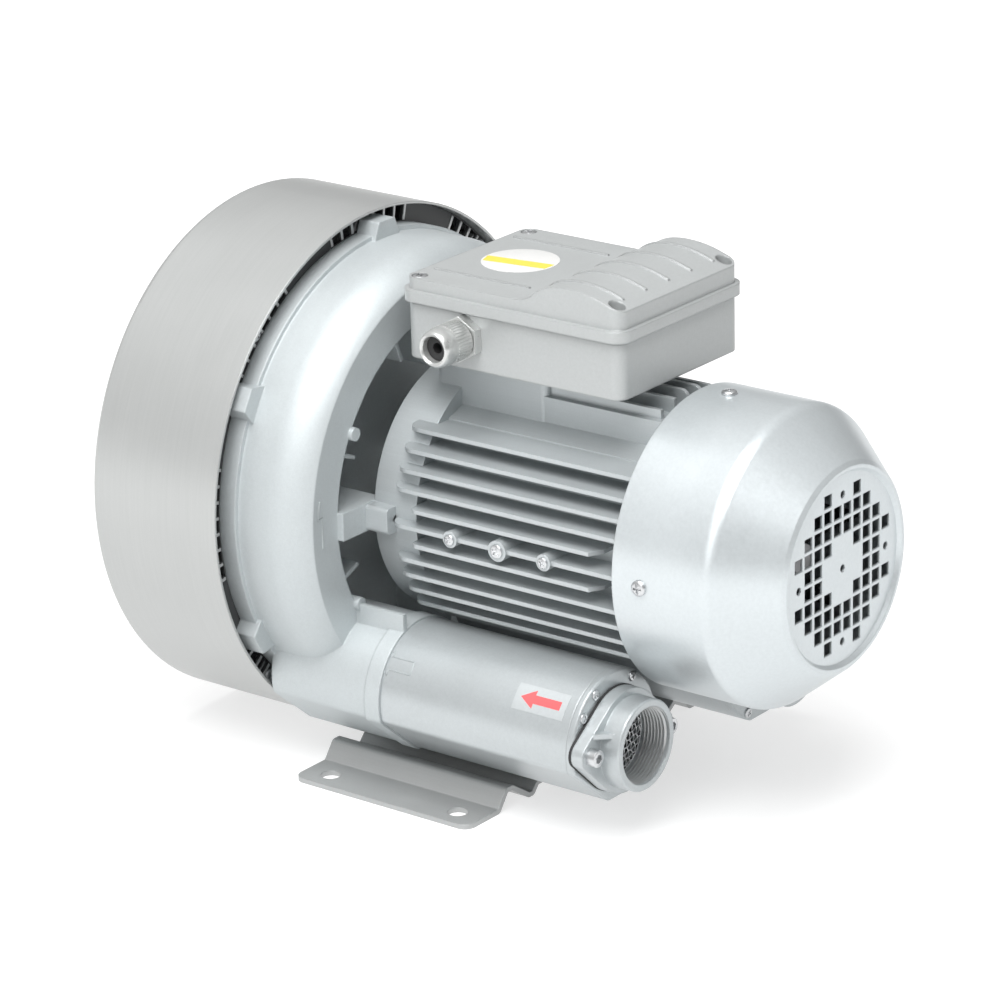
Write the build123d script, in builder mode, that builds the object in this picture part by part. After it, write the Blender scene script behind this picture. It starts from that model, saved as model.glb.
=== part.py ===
from build123d import *
from math import cos, radians, sin, sqrt
import os

# Side channel blower, two stages, with a flanged fan-cooled motor.
# Millimetres. +X runs along the shaft towards the fan cowl, -Y is the inlet side, +Z is up.
# The origin is the centre of the foot's bolt pattern, on the floor.

# ---- shaft and casings -------------------------------------------------------------------
AXIS_HEIGHT = 159.0  # shaft centre above the floor
SPLIT_REAR = -98.0  # joint face between the motor side casing and the middle casing
STAGE_PITCH = 44.0  # from one impeller's centre plane to the next
CASING_RIM = 144.0  # radius of the clamped rims
CASING_WALL = 141.0  # radius of the channel's outer wall
CROWN_RADIUS = 129.0  # inner edge of the bulged channel
CROWN_X = -40.0  # plane of the flat ring inside the bulge
WELL_RADIUS = 106.5  # mouth of the well that the motor stands in
WELL_FLOOR_X = -78.0
CHANNEL_IN, CHANNEL_OUT = 109.0, 138.5  # radii of the side channel
CHANNEL_END_X = -62.0  # where the channel's round end starts
POCKET_DEPTH = 13.0  # depth of the impeller pocket in each casing
DISC_GAP = 1.0  # axial running gap of the impellers
STRIPPER_HALF_ANGLE = 30.0  # half angle of the block between outlet and inlet
LUG_COUNT, LUG_OUT, LUG_WIDTH = 6, 151.5, 20.0
CASING_BOLT_CIRCLE = 146.5
FRONT_X = -172.0  # front face of the front casing

# ---- impellers ---------------------------------------------------------------------------
IMPELLER_RADIUS, IMPELLER_WIDTH = 137.5, 24.0
BLADE_IN, BLADE_THICK, BLADE_COUNT = 110.0, 2.6, 30
HUB_RADIUS, WEB_THICK = 24.0, 5.0

# ---- drum and grille ---------------------------------------------------------------------
DRUM_RADIUS, DRUM_SHEET = 157.5, 1.5
DRUM_REAR_X, DRUM_FRONT_X, DRUM_EDGE = -90.0, -185.5, 4.0
GRILLE_THICK = 2.0
GRILLE_SLOT_PITCH, GRILLE_SLOT_WIDTH = 3.8, 7.2  # degrees, millimetres
GRILLE_GROUPS, GRILLE_SLOTS = 8, 7
POST_CIRCLE, POST_RADIUS = 110.0, 6.0

# ---- ducts, silencers and ports ----------------------------------------------------------
DUCT_Y, DUCT_Z = 76.0, 58.0  # duct centre, each side, above the floor
DUCT_RADIUS, DUCT_BORE = 40.5, 31.0
DUCT_FLAT_REACH = 33.0  # from the duct's centre to its slanted outer flat
DUCT_BOTTOM_REACH = 38.0  # from the duct's centre to its flat bottom
DUCT_FLAT_ANGLE = 50.0  # slope of the outer flat below the horizontal
DUCT_START_X, SEAM_X, SILENCER_END_X = -87.0, -5.0, 129.5
COLLAR_LENGTH, COLLAR_RISE = 11.0, 1.2
END_CAP_THICK, FLANGE_GASKET = 4.5, 1.5
LINER_BORE = 24.0
PORT_BORE, PORT_RADIUS = 22.9, 27.2  # bored for a G 1 1/2 thread
PORT_FACE_X, FLANGE_THICK = 156.5, 8.0
FLANGE_CORE, FLANGE_EAR, FLANGE_SPACING, FLANGE_TILT = 31.0, 8.0, 72.0, 4.0
SCREEN_BARS, SCREEN_BAR = 5, 1.6

# ---- foot --------------------------------------------------------------------------------
FOOT_SHEET, FOOT_LENGTH, FOOT_HALF_WIDTH = 3.0, 130.0, 126.0
FOOT_HOLE_X, FOOT_HOLE_Y, FOOT_HOLE_RADIUS = 95.0, 225.0, 6.0
HUMP_OUT, HUMP_TOP_OUT, HUMP_TOP_IN, HUMP_IN = 96.0, 88.0, 83.0, 67.0
HUMP_RISE, PLATEAU_RISE, PLATEAU_HALF = 10.5, 5.0, 58.5
FOOT_SCREW_X, FOOT_SCREW_Y = (-52.0, -22.0), 50.0

# ---- motor -------------------------------------------------------------------------------
MOTOR_FRONT_X, MOTOR_RING_END_X, HOUSING_END_X = -36.0, -5.0, 140.0
MOTOR_RING, HOUSING_ROOT, HOUSING_BORE = 77.6, 68.0, 62.0
FIN_TIP, FIN_THICK, FIN_PITCH = 86.0, 2.6, 10.7
FIN_START_X, FIN_END_X, SHORT_FIN_START_X, SHORT_FIN_END_X = -19.0, 146.0, -4.0, 129.0
SIDE_FINS, BOTTOM_FINS, TOP_FINS, LOWEST_FIN_HALF = 6, 5, 5, 50.0
MOTOR_LUG_OUT, MOTOR_LUG_WIDTH, MOTOR_LUG_END_X = 86.0, 16.0, -20.0
MOTOR_BOLT_CIRCLE, MOTOR_BOLT = 77.5, 2.5
PEDESTAL_HALF, PEDESTAL_START_X, PEDESTAL_END_X = 31.0, -24.0, 57.0
TOP_BLOCK_HEIGHT, TOP_FIN_END_X = 76.0, 134.0
BOSS_X, BOSS_RADII, BOSS_FACE_Y = (27.0, 61.0, 94.0), (5.0, 6.3, 5.0), 87.5
STATOR_BORE, STATOR_X0, STATOR_X1 = 38.0, 15.0, 105.0
COIL_OVERHANG = 17.0
BEARING_OUT, BEARING_BORE, BEARING_WIDTH = 26.0, 12.5, 15.0
BEARING_SPLIT_IN, BEARING_SPLIT_OUT = 18.0, 18.4
DRIVE_BEARING_X, FAN_BEARING_X = -58.0, 120.0
ARM_WIDTH = 17.0

# ---- fan and cowl ------------------------------------------------------------------------
COWL_RADIUS, COWL_SHEET = 89.0, 1.5
COWL_START_X, COWL_BREAK_X, COWL_END_X = 143.0, 206.0, 241.0
COWL_NOSE, COWL_DISC_X = 61.0, 238.5
HOLE_PITCH, HOLE_SIDE, SMALL_HOLE = 9.8, 7.8, 2.3
COWL_SCREW_X = 162.0
FAN_X0, FAN_X1, FAN_RADIUS, FAN_BLADES, FAN_HUB = 172.0, 200.0, 80.0, 9, 18.0

# ---- terminal box and gland --------------------------------------------------------------
BOX_X0, BOX_X1, BOX_HALF = -24.0, 129.0, 58.5
BOX_Z0, BOX_Z1, BOX_WALL, BOX_CORNER = 253.0, 286.0, 3.5, 7.5
LIP, LIP_HEIGHT, GASKET_THICK = 3.0, 7.0, 1.0
LID_FLAT_Z, LID_PEAK_Z, LID_END_Z = 301.0, 313.0, 304.5
LID_STEP_X, LID_RISE_X, LID_PEAK_X = 57.0, 72.0, 96.0
LID_SCREW_INSET = 6.5
LID_RIB_PITCH, LID_RIB_WIDTH, LID_RIB_RISE = 22.0, 1.8, 0.9
GLAND_X, GLAND_Z, GLAND_HEX, GLAND_HEX_THICK = 19.0, 272.0, 24.0, 6.0
GLAND_NUT_RADIUS, GLAND_NUT_LENGTH, GLAND_MOUTH, GLAND_CABLE = 12.0, 24.0, 7.5, 3.2
CAPACITOR_RADIUS, CAPACITOR_LENGTH = 19.0, 80.0

# ---- clearances --------------------------------------------------------------------------
FIT = 0.02  # radial gap of seats that turn together or are pressed in service
RUN = 0.3  # radial gap between parts that turn against each other
THREAD = 0.05  # radial gap round screws, whose threads are not cut

AXIS = Axis((0, 0, AXIS_HEIGHT), (1, 0, 0))
SECTION = Plane(origin=(0, 0, AXIS_HEIGHT), x_dir=(1, 0, 0), z_dir=(0, -1, 0))
SIDES = {"inlet": -1, "outlet": 1}
SPLIT_FRONT = SPLIT_REAR - STAGE_PITCH
LUG_ANGLES = [30 + 360 / LUG_COUNT * i for i in range(LUG_COUNT)]
DISC_FACE = WEB_THICK / 2 + DISC_GAP  # from an impeller's centre plane to the casing beside it
HUB_BAY = IMPELLER_WIDTH / 2 + 1.5  # half length of the room for an impeller's hub
GASKET_X = SILENCER_END_X + END_CAP_THICK
FLANGE_X = GASKET_X + FLANGE_GASKET
SHAFT_FRONT_X = SPLIT_FRONT - 24.0


def across(x, turn=0.0):
    """Plane square to the shaft at x: local x is +Y, local y is +Z, turned about the shaft."""
    y_dir = (0, cos(radians(turn)), sin(radians(turn)))
    return Plane(origin=(x, 0, AXIS_HEIGHT), x_dir=y_dir, z_dir=(1, 0, 0))


def disc(x, outer, inner=0.0, at=(0, 0)):
    """Round face or ring square to the shaft, centred at (y, z from the shaft)."""
    with BuildSketch(across(x)) as face:
        with Locations(at):
            Circle(outer)
            if inner:
                Circle(inner, mode=Mode.SUBTRACT)
    return face.sketch


def discs_on_circle(x, radius, circle, angles):
    """Round faces on a circle about the shaft, at the given angles from +Y."""
    with BuildSketch(across(x)) as faces:
        for angle in angles:
            with PolarLocations(circle, 1, angle):
                Circle(radius)
    return faces.sketch


def radial_bars(x, inner, outer, width, angles):
    """Rectangles that lie along radii from inner to outer, at the given angles from +Y."""
    with BuildSketch(across(x)) as faces:
        for angle in angles:
            with PolarLocations((inner + outer) / 2, 1, angle):
                Rectangle(outer - inner, width)
    return faces.sketch


def trapezoid_lugs(x, inner, outer, width, angles):
    """Lugs whose outer edge is narrower than their root."""
    with BuildSketch(across(x)) as faces:
        for angle in angles:
            with PolarLocations(inner, 1, angle):
                Trapezoid(width * 1.35, outer - inner, 68, rotation=-90, align=(Align.CENTER, Align.MIN))
    return faces.sketch


def turned(points, arcs=()):
    """Closed half section (x, radius) for revolving; arcs maps a start index to a tangent."""
    with BuildSketch(SECTION) as face:
        with BuildLine():
            for i, start in enumerate(points):
                end = points[(i + 1) % len(points)]
                if i in dict(arcs):
                    TangentArc(start, end, tangent=dict(arcs)[i])
                else:
                    Line(start, end)
        make_face()
    return face.sketch


def duct_outline(x, side, grow=0.0):
    """Outside of a duct: a circle with a slanted flat on its outer side and a flat bottom."""
    centre = (side * DUCT_Y, DUCT_Z - AXIS_HEIGHT)
    slant = 180 + DUCT_FLAT_ANGLE if side < 0 else -DUCT_FLAT_ANGLE
    with BuildSketch(across(x)) as face:
        with Locations(centre):
            Circle(DUCT_RADIUS + grow)
        for angle, reach in ((slant, DUCT_FLAT_REACH), (270, DUCT_BOTTOM_REACH)):
            edge = Vector(reach + grow, 0).rotate(Axis.Z, angle)
            with Locations((centre[0] + edge.X, centre[1] + edge.Y)):
                Rectangle(200, 200, rotation=angle, align=(Align.MAX, Align.CENTER), mode=Mode.INTERSECT)
        fillet(face.vertices(), radius=6)
    return face.sketch


def rounded_box(z, x0, x1, half, corner):
    """Horizontal rectangle with round corners between x0 and x1."""
    with BuildSketch(Plane.XY.offset(z)) as face:
        with Locations(((x0 + x1) / 2, 0)):
            RectangleRounded(x1 - x0, 2 * half, corner)
    return face.sketch


# ---- foot --------------------------------------------------------------------------------
with BuildPart() as foot_plate:
    half_sheet = FOOT_SHEET / 2
    with BuildSketch(Plane.YZ.offset(-FOOT_LENGTH / 2)):
        with BuildLine():
            FilletPolyline(
                (-FOOT_HALF_WIDTH, half_sheet),
                (-HUMP_OUT, half_sheet),
                (-HUMP_TOP_OUT, half_sheet + HUMP_RISE),
                (-HUMP_TOP_IN, half_sheet + HUMP_RISE),
                (-HUMP_IN, half_sheet),
                (-PLATEAU_HALF - 4.5, half_sheet),
                (-PLATEAU_HALF, half_sheet + PLATEAU_RISE),
                (0, half_sheet + PLATEAU_RISE),
                radius=2.2,
            )
        trace(line_width=FOOT_SHEET)
    extrude(amount=FOOT_LENGTH)
    mirror(about=Plane.XZ)
    corners = foot_plate.edges().filter_by(Axis.Z).group_by(SortBy.LENGTH)[0]
    fillet([edge for edge in corners if abs(edge.center().Y) > FOOT_HALF_WIDTH - 1], radius=7)
    with Locations((0, 0, FOOT_SHEET)):
        with GridLocations(FOOT_HOLE_X, FOOT_HOLE_Y, 2, 2):
            Hole(FOOT_HOLE_RADIUS)
    plateau_top = PLATEAU_RISE + FOOT_SHEET
    with Locations(*[(x, side * FOOT_SCREW_Y, plateau_top) for x in FOOT_SCREW_X for side in (-1, 1)]):
        Hole(3.4)

with BuildPart() as foot_screws:
    with Locations(*[(x, side * FOOT_SCREW_Y, PLATEAU_RISE) for x in FOOT_SCREW_X for side in (-1, 1)]):
        Cylinder(5.5, 3.5, align=(Align.CENTER, Align.CENTER, Align.MAX))
        Cylinder(3.0, 16, align=(Align.CENTER, Align.CENTER, Align.MIN))

# ---- motor side casing: bulged channel, motor well, arms and both ducts ------------------
with BuildPart() as casing_motor_side:
    revolve(
        turned(
            [
                (SPLIT_REAR, CASING_RIM),
                (SPLIT_REAR + 12, CASING_RIM),
                (SPLIT_REAR + 12, CASING_WALL + 0.5),
                (CHANNEL_END_X - 2, CASING_WALL),
                (CROWN_X, CROWN_RADIUS),
                (CROWN_X, WELL_RADIUS),
                (WELL_FLOOR_X, WELL_RADIUS - 2.5),
                (WELL_FLOOR_X, 22.0),
                (SPLIT_REAR + HUB_BAY, 22.0),
                (SPLIT_REAR + HUB_BAY, HUB_RADIUS + 1),
                (SPLIT_REAR + DISC_FACE, HUB_RADIUS + 1),
                (SPLIT_REAR + DISC_FACE, CHANNEL_OUT - 1),
                (SPLIT_REAR, CHANNEL_OUT - 1),
            ],
            arcs={3: (1, 0)},
        ),
        axis=AXIS,
    )
    for side in SIDES.values():
        extrude(duct_outline(DUCT_START_X, side), amount=SEAM_X - DUCT_START_X)
        extrude(duct_outline(SEAM_X - COLLAR_LENGTH, side, COLLAR_RISE), amount=COLLAR_LENGTH)
        # web from the well's pin boss down to the duct
        with BuildSketch(across(WELL_FLOOR_X)):
            with Locations((side * 91, -59)):
                Rectangle(3, 14)
        extrude(amount=SEAM_X - WELL_FLOOR_X)
    extrude(trapezoid_lugs(SPLIT_REAR, CASING_WALL - 5, LUG_OUT, LUG_WIDTH, LUG_ANGLES), amount=15)
    extrude(
        radial_bars(WELL_FLOOR_X, 70, WELL_RADIUS, ARM_WIDTH, (0, 90, 180, 270)),
        amount=MOTOR_FRONT_X - WELL_FLOOR_X,
    )
    extrude(
        discs_on_circle(WELL_FLOOR_X, 4, WELL_RADIUS - 1.5, (30, 150, 210, 330)),
        amount=CROWN_X + 3 - WELL_FLOOR_X,
    )
    extrude(
        radial_bars(WELL_FLOOR_X, 86, WELL_RADIUS, 2.5, [22.5 + 45 * i for i in range(8)]),
        amount=CROWN_X - 8 - WELL_FLOOR_X,
    )
    # bosses that stand on the foot
    with Locations(*[(x, side * FOOT_SCREW_Y, plateau_top) for x in FOOT_SCREW_X for side in (-1, 1)]):
        Cylinder(8, 24, align=(Align.CENTER, Align.CENTER, Align.MIN))
        Cylinder(
            3.0 + THREAD, 20, align=(Align.CENTER, Align.CENTER, Align.MIN), mode=Mode.SUBTRACT
        )
    # threaded holes for the casing bolts and the motor bolts
    extrude(
        discs_on_circle(SPLIT_REAR, 3 + THREAD, CASING_BOLT_CIRCLE, LUG_ANGLES),
        amount=12,
        mode=Mode.SUBTRACT,
    )
    extrude(
        discs_on_circle(SPLIT_REAR, MOTOR_BOLT + 0.3, MOTOR_BOLT_CIRCLE, (0, 90, 180, 270)),
        amount=MOTOR_FRONT_X - SPLIT_REAR,
        mode=Mode.SUBTRACT,
    )
    extrude(
        discs_on_circle(SPLIT_REAR, 4.8, MOTOR_BOLT_CIRCLE, (0, 90, 180, 270)),
        amount=DISC_FACE + 6,
        mode=Mode.SUBTRACT,
    )
    # impeller pocket all round, then the channel up to the stripper block
    extrude(disc(SPLIT_REAR, CHANNEL_OUT, CHANNEL_IN), amount=POCKET_DEPTH, mode=Mode.SUBTRACT)
    start = 270 + STRIPPER_HALF_ANGLE
    channel_plane = Plane(
        origin=(0, 0, AXIS_HEIGHT),
        x_dir=(1, 0, 0),
        z_dir=(0, -sin(radians(start)), cos(radians(start))),
    )
    with BuildSketch(channel_plane):
        with BuildLine():
            low, high = CHANNEL_IN + 0.6, CHANNEL_OUT - 0.6
            Polyline(
                (CHANNEL_END_X, high), (SPLIT_REAR + 6, high), (SPLIT_REAR + 6, low), (CHANNEL_END_X, low)
            )
            RadiusArc((CHANNEL_END_X, low), (CHANNEL_END_X, high), (low - high) / 2)
        make_face()
    revolve(axis=AXIS, revolution_arc=360 - 2 * STRIPPER_HALF_ANGLE, mode=Mode.SUBTRACT)
    for side in SIDES.values():
        centre = (side * DUCT_Y, DUCT_Z - AXIS_HEIGHT)
        extrude(disc(SEAM_X, DUCT_BORE, at=centre), amount=-52, mode=Mode.SUBTRACT)
        extrude(disc(SEAM_X - 50, 13, at=centre), amount=-30, mode=Mode.SUBTRACT)

with BuildPart() as casing_middle:
    revolve(
        turned(
            [
                (SPLIT_REAR, CHANNEL_OUT - 1),
                (SPLIT_REAR, CASING_RIM - 2),
                (SPLIT_FRONT, CASING_RIM - 2),
                (SPLIT_FRONT, CHANNEL_OUT - 1),
                (SPLIT_FRONT + DISC_FACE, CHANNEL_OUT - 1),
                (SPLIT_FRONT + DISC_FACE, HUB_RADIUS + 1),
                (SPLIT_FRONT + HUB_BAY, HUB_RADIUS + 1),
                (SPLIT_FRONT + HUB_BAY, 21.0),
                (SPLIT_REAR - HUB_BAY, 21.0),
                (SPLIT_REAR - HUB_BAY, HUB_RADIUS + 1),
                (SPLIT_REAR - DISC_FACE, HUB_RADIUS + 1),
                (SPLIT_REAR - DISC_FACE, CHANNEL_OUT - 1),
            ]
        ),
        axis=AXIS,
    )
    ear_x = SPLIT_REAR - GRILLE_THICK
    extrude(
        trapezoid_lugs(SPLIT_FRONT, CASING_WALL - 5, LUG_OUT, LUG_WIDTH, LUG_ANGLES),
        amount=ear_x - SPLIT_FRONT,
    )
    extrude(radial_bars(ear_x, CASING_WALL - 4, 154.5, 14, (45, 135, 225, 315)), amount=-12)
    for x, inwards in ((SPLIT_REAR, -1), (SPLIT_FRONT, 1)):
        extrude(disc(x, CHANNEL_OUT, CHANNEL_IN), amount=inwards * POCKET_DEPTH, mode=Mode.SUBTRACT)
        with BuildSketch(SECTION):
            with BuildLine():
                floor = x + inwards * POCKET_DEPTH
                middle = (CHANNEL_IN + CHANNEL_OUT) / 2
                ThreePointArc((floor, CHANNEL_IN), (floor + inwards * 7, middle), (floor, CHANNEL_OUT))
                Line((floor, CHANNEL_OUT), (floor, CHANNEL_IN))
            make_face()
        revolve(axis=AXIS, mode=Mode.SUBTRACT)
    extrude(
        discs_on_circle(SPLIT_FRONT, 3.3, CASING_BOLT_CIRCLE, LUG_ANGLES),
        amount=STAGE_PITCH,
        mode=Mode.SUBTRACT,
    )
    extrude(
        discs_on_circle(ear_x, 2 + THREAD, 150.5, (45, 135, 225, 315)), amount=-9, mode=Mode.SUBTRACT
    )

with BuildPart() as casing_front:
    revolve(
        turned(
            [
                (SPLIT_FRONT, CHANNEL_OUT - 1),
                (SPLIT_FRONT, CASING_RIM - 2),
                (SPLIT_FRONT - 8, CASING_RIM - 2),
                (SPLIT_FRONT - 8, CASING_WALL - 1),
                (SPLIT_FRONT - 14, CASING_WALL - 1),
                (FRONT_X, CROWN_RADIUS),
                (FRONT_X, 0),
                (FRONT_X + 4, 0),
                (FRONT_X + 4, HUB_RADIUS + 1),
                (SPLIT_FRONT - DISC_FACE, HUB_RADIUS + 1),
                (SPLIT_FRONT - DISC_FACE, CHANNEL_OUT - 1),
            ],
            arcs={4: (-1, 0)},
        ),
        axis=AXIS,
    )
    extrude(
        trapezoid_lugs(SPLIT_FRONT, CASING_WALL - 5, LUG_OUT, LUG_WIDTH, LUG_ANGLES), amount=-14
    )
    extrude(
        discs_on_circle(FRONT_X, POST_RADIUS, POST_CIRCLE, (45, 135, 225, 315)),
        amount=DRUM_FRONT_X + DRUM_SHEET - FRONT_X,
    )
    extrude(disc(SPLIT_FRONT, CHANNEL_OUT, CHANNEL_IN), amount=-POCKET_DEPTH, mode=Mode.SUBTRACT)
    with BuildSketch(SECTION):
        with BuildLine():
            floor = SPLIT_FRONT - POCKET_DEPTH
            middle = (CHANNEL_IN + CHANNEL_OUT) / 2
            ThreePointArc((floor, CHANNEL_IN), (floor - 11, middle), (floor, CHANNEL_OUT))
            Line((floor, CHANNEL_OUT), (floor, CHANNEL_IN))
        make_face()
    revolve(axis=AXIS, mode=Mode.SUBTRACT)
    extrude(
        discs_on_circle(SPLIT_FRONT, 3.3, CASING_BOLT_CIRCLE, LUG_ANGLES), amount=-20, mode=Mode.SUBTRACT
    )
    extrude(
        discs_on_circle(DRUM_FRONT_X, 2 + THREAD, POST_CIRCLE, (45, 135, 225, 315)),
        amount=14,
        mode=Mode.SUBTRACT,
    )

with BuildPart() as casing_bolts:
    head_x = SPLIT_FRONT - 14
    extrude(discs_on_circle(head_x, 3.0, CASING_BOLT_CIRCLE, LUG_ANGLES), amount=SPLIT_REAR + 11 - head_x)
    extrude(discs_on_circle(head_x, 5.0, CASING_BOLT_CIRCLE, LUG_ANGLES), amount=-6)

# ---- grille and drum ---------------------------------------------------------------------
with BuildPart() as grille_ring:
    ring_x = SPLIT_REAR - GRILLE_THICK
    grille_out = DRUM_RADIUS - DRUM_SHEET - RUN
    extrude(disc(ring_x, grille_out, CASING_RIM - 2 + FIT * 10), amount=GRILLE_THICK)
    slot_angles = []
    for group in range(GRILLE_GROUPS):
        centre_angle = 360 / GRILLE_GROUPS * group
        for slot in range(GRILLE_SLOTS):
            offset_slots = slot - (GRILLE_SLOTS - 1) / 2
            on_screw = group % 2 == 1 and offset_slots == 0
            if not on_screw:
                slot_angles.append(centre_angle + GRILLE_SLOT_PITCH * offset_slots)
    extrude(
        radial_bars(ring_x, CASING_RIM + 0.5, grille_out - 0.8, GRILLE_SLOT_WIDTH, slot_angles),
        amount=GRILLE_THICK,
        mode=Mode.SUBTRACT,
    )
    extrude(
        discs_on_circle(ring_x, 3.3, CASING_BOLT_CIRCLE, LUG_ANGLES),
        amount=GRILLE_THICK,
        mode=Mode.SUBTRACT,
    )
    extrude(
        discs_on_circle(ring_x, 2.2, 150.5, (45, 135, 225, 315)), amount=GRILLE_THICK, mode=Mode.SUBTRACT
    )

with BuildPart() as grille_screws:
    extrude(discs_on_circle(SPLIT_REAR, 4.2, 150.5, (45, 135, 225, 315)), amount=2.4)
    chamfer(grille_screws.edges().group_by(Axis.X)[-1], 0.9)
    extrude(discs_on_circle(SPLIT_REAR, 2.0, 150.5, (45, 135, 225, 315)), amount=-10)

with BuildPart() as drum_cover:
    inner = DRUM_RADIUS - DRUM_SHEET
    bend = DRUM_EDGE - DRUM_SHEET
    revolve(
        turned(
            [
                (DRUM_REAR_X, inner),
                (DRUM_REAR_X, DRUM_RADIUS),
                (DRUM_FRONT_X + DRUM_EDGE, DRUM_RADIUS),
                (DRUM_FRONT_X, DRUM_RADIUS - DRUM_EDGE),
                (DRUM_FRONT_X, 0),
                (DRUM_FRONT_X + DRUM_SHEET, 0),
                (DRUM_FRONT_X + DRUM_SHEET, inner - bend),
                (DRUM_FRONT_X + DRUM_EDGE, inner),
            ],
            arcs={2: (-1, 0), 6: (0, 1)},
        ),
        axis=AXIS,
    )
    extrude(
        discs_on_circle(DRUM_FRONT_X - 1, 2.3, POST_CIRCLE, (45, 135, 225, 315)),
        amount=4,
        mode=Mode.SUBTRACT,
    )

with BuildPart() as drum_screws:
    extrude(discs_on_circle(DRUM_FRONT_X, 4.2, POST_CIRCLE, (45, 135, 225, 315)), amount=-2.4)
    chamfer(drum_screws.edges().group_by(Axis.X)[0], 0.9)
    extrude(discs_on_circle(DRUM_FRONT_X, 2.0, POST_CIRCLE, (45, 135, 225, 315)), amount=11)


# ---- ducts, silencers and ports, made alike on the inlet and outlet sides ----------------
def make_silencer(side):
    centre = (side * DUCT_Y, DUCT_Z - AXIS_HEIGHT)
    with BuildPart() as silencer:
        extrude(duct_outline(SEAM_X, side), amount=SILENCER_END_X - SEAM_X)
        extrude(disc(SEAM_X, DUCT_BORE, at=centre), amount=SILENCER_END_X - SEAM_X, mode=Mode.SUBTRACT)
        cut_cap_screws(SILENCER_END_X, side, 2 + THREAD, -12)
    return silencer


def cap_screw_places(side):
    """The end cap's screws, at the four corners that clear the flange."""
    reach = DUCT_RADIUS - 4.2
    return [
        (side * (DUCT_Y + reach * cos(radians(a))), reach * sin(radians(a))) for a in (36, 61, 119, 240)
    ]


def cap_screw_faces(x, side, radius):
    with BuildSketch(across(x)) as faces:
        with Locations(*[(y, DUCT_Z - AXIS_HEIGHT + z) for y, z in cap_screw_places(side)]):
            Circle(radius)
    return faces.sketch


def cut_cap_screws(x, side, radius, depth):
    extrude(cap_screw_faces(x, side, radius), amount=depth, mode=Mode.SUBTRACT)


def make_liner(side):
    centre = (side * DUCT_Y, DUCT_Z - AXIS_HEIGHT)
    with BuildPart() as liner:
        extrude(disc(SEAM_X + 3, DUCT_BORE - 0.2, LINER_BORE, at=centre), amount=SILENCER_END_X - SEAM_X - 4)
    return liner


def make_end_cap(side):
    centre = (side * DUCT_Y, DUCT_Z - AXIS_HEIGHT)
    with BuildPart() as cap:
        extrude(duct_outline(SILENCER_END_X, side), amount=END_CAP_THICK)
        chamfer(cap.faces().sort_by(Axis.X)[-1].edges(), 1.0)
        extrude(disc(SILENCER_END_X, LINER_BORE, at=centre), amount=END_CAP_THICK, mode=Mode.SUBTRACT)
        cut_cap_screws(SILENCER_END_X, side, 2.3, END_CAP_THICK)
        cut_flange_screws(SILENCER_END_X, side, 3 + THREAD, END_CAP_THICK)
    return cap


def flange_seat(side):
    """Place of a port flange in the plane across the shaft, outer ear raised."""
    return Location((side * DUCT_Y, DUCT_Z - AXIS_HEIGHT, 0), (0, 0, side * FLANGE_TILT))


def cut_flange_screws(x, side, radius, depth):
    with BuildSketch(across(x)) as faces:
        with Locations(flange_seat(side)):
            with GridLocations(FLANGE_SPACING, 1, 2, 1):
                Circle(radius)
    extrude(faces.sketch, amount=depth, mode=Mode.SUBTRACT)


def flange_outline(x, side, grow=0.0):
    """Two bolt flange: the hull of a round core and two ears."""
    with BuildSketch(across(x)) as face:
        with Locations(flange_seat(side)):
            Circle(FLANGE_CORE + grow)
            with GridLocations(FLANGE_SPACING, 1, 2, 1):
                Circle(FLANGE_EAR + grow)
        make_hull()
    return face.sketch


def make_gasket(side):
    with BuildPart() as gasket:
        extrude(flange_outline(GASKET_X, side, 0.3), amount=FLANGE_GASKET)
        centre = (side * DUCT_Y, DUCT_Z - AXIS_HEIGHT)
        extrude(disc(GASKET_X, LINER_BORE, at=centre), amount=FLANGE_GASKET, mode=Mode.SUBTRACT)
        cut_flange_screws(GASKET_X, side, 3.3, FLANGE_GASKET)
    return gasket


def make_flange(side):
    centre = (side * DUCT_Y, DUCT_Z - AXIS_HEIGHT)
    with BuildPart() as flange:
        extrude(flange_outline(FLANGE_X, side), amount=FLANGE_THICK)
        extrude(disc(FLANGE_X, PORT_RADIUS, at=centre), amount=PORT_FACE_X - FLANGE_X)
        # slanted webs from the collar to the ears
        seat = Plane(across(FLANGE_X + FLANGE_THICK).location * flange_seat(side))
        for web_side in (-1, 1):
            web_plane = Plane(
                origin=seat.origin + seat.y_dir * 11,
                x_dir=seat.x_dir * web_side,
                z_dir=seat.y_dir * -web_side,
            )
            with BuildSketch(web_plane):
                with BuildLine():
                    Polyline((20, -1), (34, -1), (34, 0), (24, 8), (20, 8), close=True)
                make_face()
            extrude(amount=1.5, both=True)
        chamfer(flange.faces().sort_by(Axis.X)[-1].edges(), 0.8)
        extrude(disc(FLANGE_X, PORT_BORE, at=centre), amount=PORT_FACE_X - FLANGE_X, mode=Mode.SUBTRACT)
        cut_flange_screws(FLANGE_X, side, 3.3, FLANGE_THICK)
    return flange


def make_screen(side):
    centre = (side * DUCT_Y, DUCT_Z - AXIS_HEIGHT)
    with BuildPart() as screen:
        extrude(disc(GASKET_X - 1, LINER_BORE - 0.1, LINER_BORE - 2, at=centre), amount=1)
        with BuildSketch(across(GASKET_X - 1)):
            with Locations(centre):
                Circle(LINER_BORE - 1)
                with GridLocations(2 * LINER_BORE / SCREEN_BARS, 2 * LINER_BORE / SCREEN_BARS, 5, 5):
                    Rectangle(
                        2 * LINER_BORE / SCREEN_BARS - SCREEN_BAR,
                        2 * LINER_BORE / SCREEN_BARS - SCREEN_BAR,
                        mode=Mode.SUBTRACT,
                    )
        extrude(amount=1)
    return screen


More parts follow.
